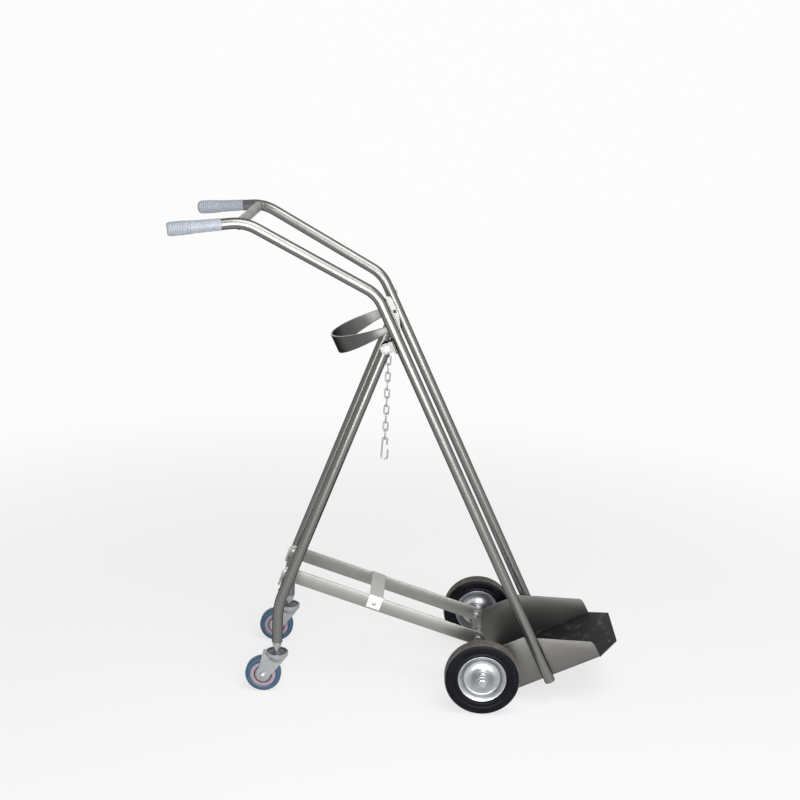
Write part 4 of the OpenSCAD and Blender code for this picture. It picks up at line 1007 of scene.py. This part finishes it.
class TROLLEY_OT_casters(bpy.types.Operator):
    """Build the caster wheels and finish their forks, stems and swivel heads"""
    bl_idname = "trolley.casters"
    bl_label = "Casters"

    def execute(self, context):
        finishes = {
            "blue_caster_tyre": moulded("blue_elastic_rubber", colour("blue"), roughness=0.42, ior=1.51,
                                        grit=0.0012, dust="#5A6773", dusty=0.2),
            "moulded_core": moulded("moulded_nylon_core", colour("core"), roughness=0.45, ior=1.53,
                                    grit=0.0010, dust="#595259", dusty=0.3),
            "dark_ring": moulded("dark_red_ring_nylon", colour("ring"), roughness=0.4, ior=1.53, dusty=0.1)}
        bush = zinc_plate("turned_bush_zinc", darker(colour("zinc"), 0.9), 0.3, 0.25)
        fork = zinc_plate("pressed_fork_zinc", colour("zinc"), 0.33, 0.3)
        for name, side in SIDES.items():
            self.wheel(name, finishes)
            dress(bush, f"caster_bush_{name}")
            dress(fork, f"caster_fork_{name}")
            self.axle(name, ACROSS * side)
        dress(bright_zinc(), "caster_stems", "leg_sockets")
        dress(zinc_plate("blackened_race_steel", colour("race"), 0.4), "caster_top_races")
        return {"FINISHED"}

    def wheel(self, name, finishes):
        """Tyre, core and the two dark rings of one caster wheel."""
        centre = middle(f"caster_tyre_{name}")
        half, radius = extent(f"caster_tyre_{name}").yz / 2
        core_r, round_r = 0.715 * radius, 0.0045
        bush_r, ring_in, ring_out = 0.44 * radius, 0.45 * radius, 0.507 * radius
        wall = [(core_r + 0.0001, -half + 0.0009), (core_r + 0.0009, -half + 0.0003),
                (core_r + 0.0020, -half), (radius - 0.0058, -half)]
        wall += arc(radius - round_r, round_r - half, round_r, -78, -6, 6)
        wall += [(radius - 0.00002, -0.004)]
        side_face = [(bush_r, 0.011), (ring_in, half - 0.001), (ring_out - 0.0002, half - 0.001),
                     (ring_out, half - 0.0004), (ring_out + 0.0006, half), (core_r - 0.0012, half),
                     (core_r - 0.0002, half - 0.0005), (core_r, half - 0.0011)]
        low, high = half - 0.0009, half + GAP
        rings = [rounded([(ring_in + HAIR, way * low), (ring_in + HAIR, way * high),
                          (ring_out - HAIR, way * high), (ring_out - HAIR, way * low)], 0.0004, steps=3)
                 for way in (-1, 1)]
        tread = [(radius, 0.0)] + mirrored(wall)[len(wall):]
        for label, node, slot, profiles, segments in (
                ("blue_caster_tyre", "caster_tyre", "caster_rubber", [wall + tread], 112),
                ("moulded_core", "caster_core", "core_plastic", [mirrored(side_face)], 96),
                ("dark_ring", "caster_rings", "ring_plastic", rings, 96)):
            part = Shape()
            for profile in profiles:
                part.lathe(profile, centre, segments=segments)
            part.piece(f"{label}_{name}", f"caster_wheel_{name}", [finishes[label]], slot,
                       [f"{node}_{name}"], sharp=50)

    def axle(self, name, out):
        """Axle bolt with a chamfered head and a nut on its threaded end."""
        low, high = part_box(f"caster_axle_{name}")
        centre = middle(f"caster_tyre_{name}")
        face = max(high.y - centre.y, centre.y - low.y) - 0.0064
        wide, head = 0.012, 0.0044
        bolt = Shape()
        bolt.lathe([(0.0, -face), (SCREW, -face), (SCREW, face), (0.0, face)], centre, out, segments=40,
                   closed=False)
        bolt.hexagon(wide, face, face + head, centre, out)
        bolt.hexagon(wide, -face, -face - head, centre, out, bore=0.0039)
        bolt.thread(SCREW, -face, -face - 0.0064, centre, out)
        bolt.piece(f"axle_bolt_{name}", f"caster_{name}", [bright_zinc()], "zinc_steel",
                   [f"caster_axle_{name}"])


class TROLLEY_OT_legs(bpy.types.Operator):
    """Finish the folding legs, their rod and their pivot brackets"""
    bl_idname = "trolley.legs"
    bl_label = "Support Legs"

    def execute(self, context):
        sizes = sizes_of("legs")
        pivot, stem, rod = PIVOTS["leg_fold"], middle("caster_stems"), middle("leg_rod")
        radius, half = sizes_of("tubes").diameter / 2, tube_half()
        for name, side in SIDES.items():
            self.leg(name, Vector((pivot.x, side * half, pivot.z)),
                     Vector((stem.x, side * half, sizes.bend_up)), rod, radius, sizes)
        dress(satin_steel("satin_stainless_rod", darker(colour("plate"), 0.7), 0.34, (0.11, 0.0022), 0.045,
                          ACROSS, rim=0.8), "leg_rod")
        dress(upright_steel(), "leg_bracket_right", "leg_bracket_left")
        rod_beads, beads = Shape(), Shape()
        low, high = 0.768, 0.795
        for side in SIDES.values():
            rod_beads.bead(hoop(Vector((rod.x, side * (half - 0.0088), rod.z)), 0.0034, 18), 0.0014)
            for edge in (-0.0042, 0.0042):
                beads.bead([tilted(0.0006 - radius, side * half + edge, low + (high - low) * k / 12)
                            for k in range(13)], 0.0017)
        rod_beads.piece("rod_welds", "support_legs", [bead_steel()], "stainless_plate")
        beads.piece("bracket_welds", "frame", [bead_steel()], "stainless_plate")
        return {"FINISHED"}

    def leg(self, name, pivot, bend, rod, radius, sizes):
        """Tube with one gentle bend, its top end closed and rounded about the pivot bolt."""
        end = Vector((bend.x, bend.y, sizes.end_up))
        rings = bar_rings(spaced(bent([pivot, bend, end], [sizes.bend], math.radians(2)), 0.010), radius, 48)
        way = (pivot - bend).normalized()
        fore = way.cross(ACROSS).normalized()
        top = []
        for t in (math.radians(10 * k) for k in range(9, 0, -1)):
            limit = radius * math.cos(t)
            ring = []
            for point in rings[0]:
                off = (point - pivot).dot(fore)
                ring.append(point + way * radius * math.sin(t) + fore * (max(-limit, min(limit, off)) - off))
            top.append(ring)
        leg = Shape()
        leg.rings(top + rings, caps=True)
        leg.warm([Vector((rod.x, bend.y * 0.93, rod.z))], 0.016)
        leg.piece(f"bent_leg_{name}", "support_legs", [tube_steel()], "stainless_tube", [f"leg_{name}"])


class TROLLEY_OT_brace(bpy.types.Operator):
    """Cut the brace bars, hooks, lift plate and lugs from plate"""
    bl_idname = "trolley.brace"
    bl_label = "Brace"

    def execute(self, context):
        pivot, rod = PIVOTS["brace_lift"], middle("leg_rod")
        reach = Vector((pivot.x - rod.x, rod.z - pivot.z))
        drop = BAR_HALF + ROD + GAP
        angle = math.atan2(reach.y, reach.x) + math.asin(drop / reach.length)
        along = math.sqrt(reach.length ** 2 - drop ** 2)
        c, s = math.cos(angle), math.sin(angle)

        def on_bar(a, b, h):
            """a back along the bars, b up across them, h to the left."""
            return Vector((pivot.x - a * c + b * s, h, pivot.z + a * s + b * c))
        outside, inside = BAR_AT + PLATE / 2, BAR_AT - PLATE / 2
        outline = arc(0, 0, BAR_HALF, 90, 270, 20)
        outline += [Vector((along + 0.004, -BAR_HALF)), Vector((along + 0.004, BAR_HALF))]
        for name, side in SIDES.items():
            bar = Shape()
            bar.plate(outline, [], lambda a, b, h: on_bar(a, b, side * h), inside, outside)
            bar.piece(f"brace_flat_{name}", "brace", [bar_steel()], "stainless_plate", [f"brace_bar_{name}"])
            self.hook(name, side, on_bar, along, outside + HAIR)
            self.lug(name, side, inside - GAP)
        self.lift_plate(on_bar, outside + HAIR)
        self.rivets(on_bar, along, inside, outside)
        return {"FINISHED"}

    def hook(self, name, side, on_bar, along, face):
        """Hook plate with round corners and a long nose behind the rod."""
        prong_in = along + ROD + 0.0005
        prong_out = prong_in + 0.005
        front, low, tip, corner = along - 0.013, -0.0283, 0.0024, 0.008
        outline = arc(front, 0, 0.010, 270, 90, 16)
        outline += arc(prong_out - corner, 0.002, corner, 90, 0)
        outline += arc(prong_out - tip, low + tip, tip, 0, -180)
        outline += [Vector((prong_in, -0.010)), Vector((front, -0.010))]
        plate = Shape()
        plate.plate(outline, [], lambda a, b, h: on_bar(a, b, side * h), face, face + 0.004, edge=0.0007)
        plate.piece(f"hook_plate_{name}", "brace", [zinc_plate("plated_hook_zinc", colour("zinc"), 0.33, 0.25)],
                    "zinc_steel", [f"brace_hook_{name}"])

    def lug(self, name, side, face):
        """Lug on the axle that carries the bar, with a weld round its foot."""
        pivot, axle = PIVOTS["brace_lift"], middle("main_axle")
        lean = Vector((pivot.x - axle.x, pivot.z - axle.z))
        way, across = lean.normalized(), Vector((-lean.y, lean.x)).normalized()
        foot, head, strap, thick = 0.013, 0.011, 0.0105, 0.004

        def on_lug(a, b, h):
            """a from the axle towards the pivot, b across, h outwards."""
            return Vector((axle.x + way.x * a + across.x * b, side * h, axle.z + way.y * a + across.y * b))
        out_at = math.degrees(math.acos(strap / foot))
        head_at = math.degrees(math.acos(strap / head))
        outline = arc(0, 0, foot, 90 - out_at, 270 + out_at, 24)
        outline += arc(lean.length, 0, head, 270 + head_at, 450 - head_at, 16)
        holes = [arc(0, 0, 0.00805, 0, 345, 23), arc(lean.length, 0, 0.00405, 0, 345, 23)]
        plate = Shape()
        plate.plate(outline, holes, on_lug, face - thick, face)
        for edge in (face + 0.0002, face - thick - 0.0002):
            plate.bead(hoop(Vector((axle.x, side * edge, axle.z)), 0.0088, 30), 0.0015, slot=1)
        plate.piece(f"axle_lug_{name}", "frame", [bar_steel(), bead_steel()], "stainless_plate",
                    [f"brace_lug_{name}"])

    def lift_plate(self, on_bar, face):
        """Folded channel over both bars, its cut edges eased."""
        wide, low, fold = 0.030, -0.011, 0.0026
        outer, top = face + LIFT_SHEET, BAR_HALF + HAIR
        within = fold - LIFT_SHEET
        side = [Vector((outer, low))] + arc(outer - fold, top + LIFT_SHEET - fold, fold, 0, 90, 6)
        inner = [Vector((face, low))] + arc(face - within, top - within, within, 0, 90, 6)
        section = (side + [Vector((-p.x, p.y)) for p in reversed(side)]
                   + [Vector((-p.x, p.y)) for p in inner] + inner[::-1])
        ease = [(0.0003, 0.0), (0.00005, 0.0003), (0.0, 0.0007)]
        stops = [(LIFT_AT - wide / 2 + d, shrink) for shrink, d in ease]
        stops += [(LIFT_AT + wide / 2 - d, shrink) for shrink, d in reversed(ease)]
        channel = Shape()
        channel.rings([[on_bar(a, p.y, p.x) for p in inset(section, shrink)] for a, shrink in stops], caps=True)
        # The lift plate's pale steel is painted light, standing for the light its upward face catches.
        channel.piece("folded_lift_plate", "brace",
                      [satin_steel("satin_stainless_lift", colour("lift"), 0.48, (0.05, 0.002), 0.02)],
                      "stainless_plate", ["brace_lift_plate"])

    def rivets(self, on_bar, along, inside, outside):
        """Round-headed rivets through the bars, the hooks and the lift plate."""
        shape = Shape()
        radius, head, rise = 0.0025, 0.0045, 0.0015
        dome = [(head * p.x, rise * p.y) for p in arc(0, 0, 1, 0, 90, 6)]
        for side in SIDES.values():
            for at, thick in ((along - 0.013, 0.004), (along - 0.002, 0.004), (LIFT_AT, LIFT_SHEET)):
                near, far = inside - HAIR, outside + 2 * HAIR + thick
                profile = [(r, far + z) for r, z in reversed(dome)] + [(radius, far), (radius, near)]
                profile += [(r, near - z) for r, z in dome]
                shape.lathe([(r, z * side) for r, z in profile], on_bar(at, 0, 0), segments=32, closed=False)
        shape.piece("domed_rivets", "brace", [bright_zinc()], "zinc_steel", ["brace_rivets"], sharp=60)


class TROLLEY_OT_fasteners(bpy.types.Operator):
    """Make the bolts, nuts and washers of the pivots and of the main axle"""
    bl_idname = "trolley.fasteners"
    bl_label = "Fasteners"

    def execute(self, context):
        self.leg_bolts([bright_zinc()])
        self.brace_bolts([bright_zinc()])
        self.axle_nuts([bright_zinc()])
        return {"FINISHED"}

    def leg_bolts(self, metal):
        """Mushroom-headed bolts that the legs turn on, each with a washer and a nut."""
        pivot = PIVOTS["leg_fold"]
        centre = Vector((pivot.x, 0, pivot.z))
        bracket = sizes_of("tubes").diameter / 2 + 0.0004 + PLATE
        inner, face = tube_half() - bracket - HAIR, tube_half() + bracket + HAIR
        washer, end = face + 0.0016, face - HAIR + 0.0016 + NUT_HEIGHT + 0.002
        head = [(0.0, inner - 0.0044), (0.0036, inner - 0.0044), (0.0058, inner - 0.0036),
                (0.0068, inner - 0.0020), (0.0070, inner - 0.0006), (0.0070, inner), (SCREW, inner)]
        bolts, nuts = Shape(), Shape()
        for out in (ACROSS * side for side in SIDES.values()):
            bolts.lathe([(SCREW, inner), (SCREW, face + 0.0005)], centre, out, segments=40, closed=False)
            bolts.thread(SCREW, face + 0.0005, end, centre, out)
            bolts.lathe(head, centre, out, segments=48, closed=False)
            nuts.lathe([(0.0041, face), (0.0080, face), (0.0080, washer - 0.0001), (0.0041, washer)],
                       centre, out, segments=48)
            nuts.hexagon(NUT, washer, washer + NUT_HEIGHT, centre, out, bore=0.0041)
        bolts.piece("pivot_bolts_threaded", "frame", metal, "zinc_steel", ["leg_pivot_bolts"])
        nuts.piece("pivot_nuts_chamfered", "frame", metal, "zinc_steel", ["leg_pivot_nuts"])

    def brace_bolts(self, metal):
        """Bolts that the brace turns on."""
        pivot = PIVOTS["brace_lift"]
        centre = Vector((pivot.x, 0, pivot.z))
        lug = 0.004
        head_face = BAR_AT + PLATE / 2 + GAP
        lug_face = BAR_AT - PLATE / 2 - GAP - lug
        nut_face = lug_face - HAIR
        bolts, nuts = Shape(), Shape()
        for out in (ACROSS * side for side in SIDES.values()):
            bolts.lathe([(SCREW, nut_face - 0.0002), (SCREW, head_face)], centre, out, segments=40, closed=False)
            bolts.hexagon(NUT, head_face, head_face + 0.00528, centre, out)
            bolts.thread(SCREW, nut_face - 0.0002, lug_face - NUT_HEIGHT - 0.002, centre, out)
            nuts.hexagon(NUT, nut_face - NUT_HEIGHT, nut_face, centre, out, bore=0.0041)
        bolts.piece("brace_bolts_threaded", "frame", metal, "zinc_steel", ["brace_pivot_bolts"])
        nuts.piece("brace_nuts_chamfered", "frame", metal, "zinc_steel", ["brace_pivot_nuts"])

    def axle_nuts(self, metal):
        """Nut and washer on each end of the main axle."""
        axle = middle("main_axle")
        centre = Vector((axle.x, 0, axle.z))
        face = middle("tyre_left").y + sizes_of("wheels").hub_length / 2 + GAP
        washer, bore, rim = 0.002, 0.0061, 0.0115
        section = rounded([(bore, face), (rim, face), (rim, face + washer), (bore, face + washer)], 0.0003,
                          steps=2)
        nuts, washers = Shape(), Shape()
        for out in (ACROSS * side for side in SIDES.values()):
            washers.lathe(section, centre, out, segments=56)
            nuts.hexagon(0.018, face + washer + HAIR, face + washer + 0.0096, centre, out, bore=0.00605, key=0.3)
        nuts.piece("axle_nuts_chamfered", "frame", metal, "zinc_steel", ["axle_nuts"])
        washers.piece("axle_washers_turned", "frame", metal, "zinc_steel", ["axle_washers"])


class TROLLEY_OT_chain(bpy.types.Operator):
    """Hang the retaining chain with its ring and long hook"""
    bl_idname = "trolley.chain"
    bl_label = "Retaining Chain"

    def execute(self, context):
        sizes = sizes_of("chain")
        zinc = zinc_plate("chain_zinc", darker(colour("zinc"), 0.92), 0.32, 0.2)
        centre = middle("chain_ring")
        ring_wire, wire = sizes.ring_wire / 2, sizes.wire / 2
        ring_r = extent("chain_ring").x / 2 - ring_wire
        ring = Shape()
        ring.sweep(hoop(centre, ring_r, 64)[:-1], ring_wire, sides=20, closed=True)
        ring.piece("chain_top_ring", "chain", [zinc], "zinc_steel", ["chain_ring"])
        top = centre.z - ring_r + ring_wire + wire + sizes.play
        rise = sizes.link - sizes.wire
        pitch = rise - sizes.wire - sizes.play
        links = Shape()
        for i in range(sizes.links):
            self.link(links, Vector((centre.x, centre.y, top - i * pitch)), ALONG if i % 2 else ACROSS,
                      rise, sizes.width / 2 - wire, wire)
        links.piece("welded_chain_links", "chain", [zinc], "zinc_steel", ["chain_links"])
        dress(zinc, "chain_hook")
        return {"FINISHED"}

    def link(self, links, top, wide, rise, bow, wire):
        """One link: two half circles, two straight sides, and a weld on one of them."""
        down = Vector((0, 0, -1))
        upper = [top + down * (bow - p.y) + wide * p.x for p in arc(0, 0, bow, 0, 180, 12)]
        lower = [top + down * (rise - bow - p.y) + wide * p.x for p in arc(0, 0, bow, 180, 360, 12)]
        straight = spaced([upper[-1], lower[0]], 0.0016)[1:-1]
        radii = [wire] * (len(upper) + len(straight) + len(lower))
        radii[len(upper) + len(straight) // 2] = wire * 1.10
        links.sweep(upper + straight + lower, radii, sides=14, closed=True)


class TROLLEY_OT_studio(bpy.types.Operator):
    """Set up the pale floor, the soft lights and the camera"""
    bl_idname = "trolley.studio"
    bl_label = "Studio"

    def execute(self, context):
        sizes = sizes_of("studio")
        self.paper(tuple(sizes.floor) + (1.0,))
        self.light("key_light", (0.7, -3.3, 1.25), 3.2, 2.5, sizes.key)
        self.light("top_light", (0.8, -1.2, 3.4), 2.2, 2.2, sizes.top)
        self.light("side_light", (3.1, -1.3, 1.5), 1.6, 2.4, sizes.side)
        self.light("low_light", (-0.2, -2.5, 0.3), 1.3, 0.4, sizes.low)
        self.room(context.scene, sizes.room)
        self.camera(context.scene, sizes.lens)
        context.scene.view_settings.view_transform = "Standard"
        return {"FINISHED"}

    def paper(self, tone):
        """Floor that curves up into a backdrop, a hair below the wheels."""
        reach, bend, wall = 30.0, 1.5, 3.0
        profile = [(-reach, 0.0), (-wall, 0.0), (wall, 0.0)]
        profile += arc(wall, bend, bend, -84, 0, 14) + [(wall + bend, 12.0)]
        mesh = bpy.data.meshes.new("studio_paper")
        verts = [(x, y, z - GAP) for y, z in profile for x in (-reach, reach)]
        faces = [(2 * i, 2 * i + 1, 2 * i + 3, 2 * i + 2) for i in range(len(profile) - 1)]
        mesh.from_pydata(verts, [], faces)
        mesh.shade_smooth()
        mesh.materials.append(matt_paper("matt_studio_paper", tone))
        floor = bpy.data.objects.new("studio_paper", mesh)
        bpy.context.scene.collection.objects.link(floor)

    def light(self, name, place, width, height, power):
        """One soft lamp that looks at the trolley's middle."""
        data = bpy.data.lights.new(name, "AREA")
        data.shape = "RECTANGLE"
        data.size, data.size_y = width, height
        data.energy = power
        lamp = bpy.data.objects.new(name, data)
        lamp.location = place
        lamp.rotation_euler = (Vector((-0.05, 0, 0.5)) - Vector(place)).to_track_quat("-Z", "Y").to_euler()
        bpy.context.scene.collection.objects.link(lamp)

    def room(self, scene, level):
        """The room's own even light, half evened out to white where the eye, metal and glass see it."""
        scene.world = bpy.data.worlds.new("studio_room")
        scene.world.use_nodes = True
        tree = scene.world.node_tree
        tree.nodes.clear()
        room, pale = (add(tree, "ShaderNodeBackground", {}, {"Color": (1.0, 1.0, 1.0, 1.0), "Strength": strength})
                      for strength in (level, 1.0))
        both = add(tree, "ShaderNodeMixShader", {}, {0: seen_share(tree, 0.5), 1: room.outputs[0],
                                                     2: pale.outputs[0]})
        add(tree, "ShaderNodeOutputWorld", {}, {"Surface": both.outputs[0]})

    def camera(self, scene, lens):
        """Camera that looks down a little on the trolley's right side, tipped as in the photograph."""
        yaw, pitch, roll = -0.01406, 0.25432, 0.04743
        ahead = Vector((math.sin(yaw) * math.cos(pitch), math.cos(yaw) * math.cos(pitch), -math.sin(pitch)))
        right = Vector((math.cos(yaw), -math.sin(yaw), 0))
        up = right.cross(ahead)
        across = right * math.cos(roll) + up * math.sin(roll)
        above = -right * math.sin(roll) + up * math.cos(roll)
        data = bpy.data.cameras.new("photo_camera")
        data.lens = lens
        data.sensor_width = 36.0
        data.clip_start, data.clip_end = 0.05, 50
        camera = bpy.data.objects.new("photo_camera", data)
        turn = Matrix((across, above, -ahead)).transposed()
        camera.matrix_world = Matrix.Translation((0.025092, -2.765756, 1.330482)) @ turn.to_4x4()
        scene.collection.objects.link(camera)
        scene.camera = camera


OPERATORS = (TROLLEY_OT_tubes, TROLLEY_OT_grips, TROLLEY_OT_saddle, TROLLEY_OT_tray, TROLLEY_OT_wheels,
             TROLLEY_OT_casters, TROLLEY_OT_legs, TROLLEY_OT_brace, TROLLEY_OT_fasteners, TROLLEY_OT_chain,
             TROLLEY_OT_studio)
GROUPS = {"trolley_tubes": TubeSizes, "trolley_grips": GripSizes, "trolley_saddle": SaddleSizes,
          "trolley_tray": TraySizes, "trolley_legs": LegSizes, "trolley_wheels": WheelSizes,
          "trolley_chain": ChainSizes, "trolley_finishes": Finishes, "trolley_studio": StudioSettings}


class TROLLEY_PT_panel(bpy.types.Panel):
    """Buttons and sizes of the trolley"""
    bl_idname = "TROLLEY_PT_panel"
    bl_label = "Two-Wheel Trolley"
    bl_space_type = "VIEW_3D"
    bl_region_type = "UI"
    bl_category = "Trolley"

    def draw(self, context):
        for operator in OPERATORS:
            self.layout.operator(operator.bl_idname)
        for attribute in GROUPS:
            box = self.layout.box()
            group = getattr(context.scene, attribute)
            for prop in group.bl_rna.properties:
                if prop.identifier not in ("rna_type", "name"):
                    box.prop(group, prop.identifier)


def register():
    for group in GROUPS.values():
        bpy.utils.register_class(group)
    for operator in OPERATORS:
        bpy.utils.register_class(operator)
    bpy.utils.register_class(TROLLEY_PT_panel)
    for attribute, group in GROUPS.items():
        setattr(bpy.types.Scene, attribute, bpy.props.PointerProperty(type=group))


def unregister():
    for attribute in GROUPS:
        delattr(bpy.types.Scene, attribute)
    bpy.utils.unregister_class(TROLLEY_PT_panel)
    for operator in reversed(OPERATORS):
        bpy.utils.unregister_class(operator)
    for group in reversed(list(GROUPS.values())):
        bpy.utils.unregister_class(group)


def main():
    register()
    for operator in OPERATORS:
        family, name = operator.bl_idname.split(".")
        getattr(getattr(bpy.ops, family), name)()


if __name__ == "__main__":
    main()
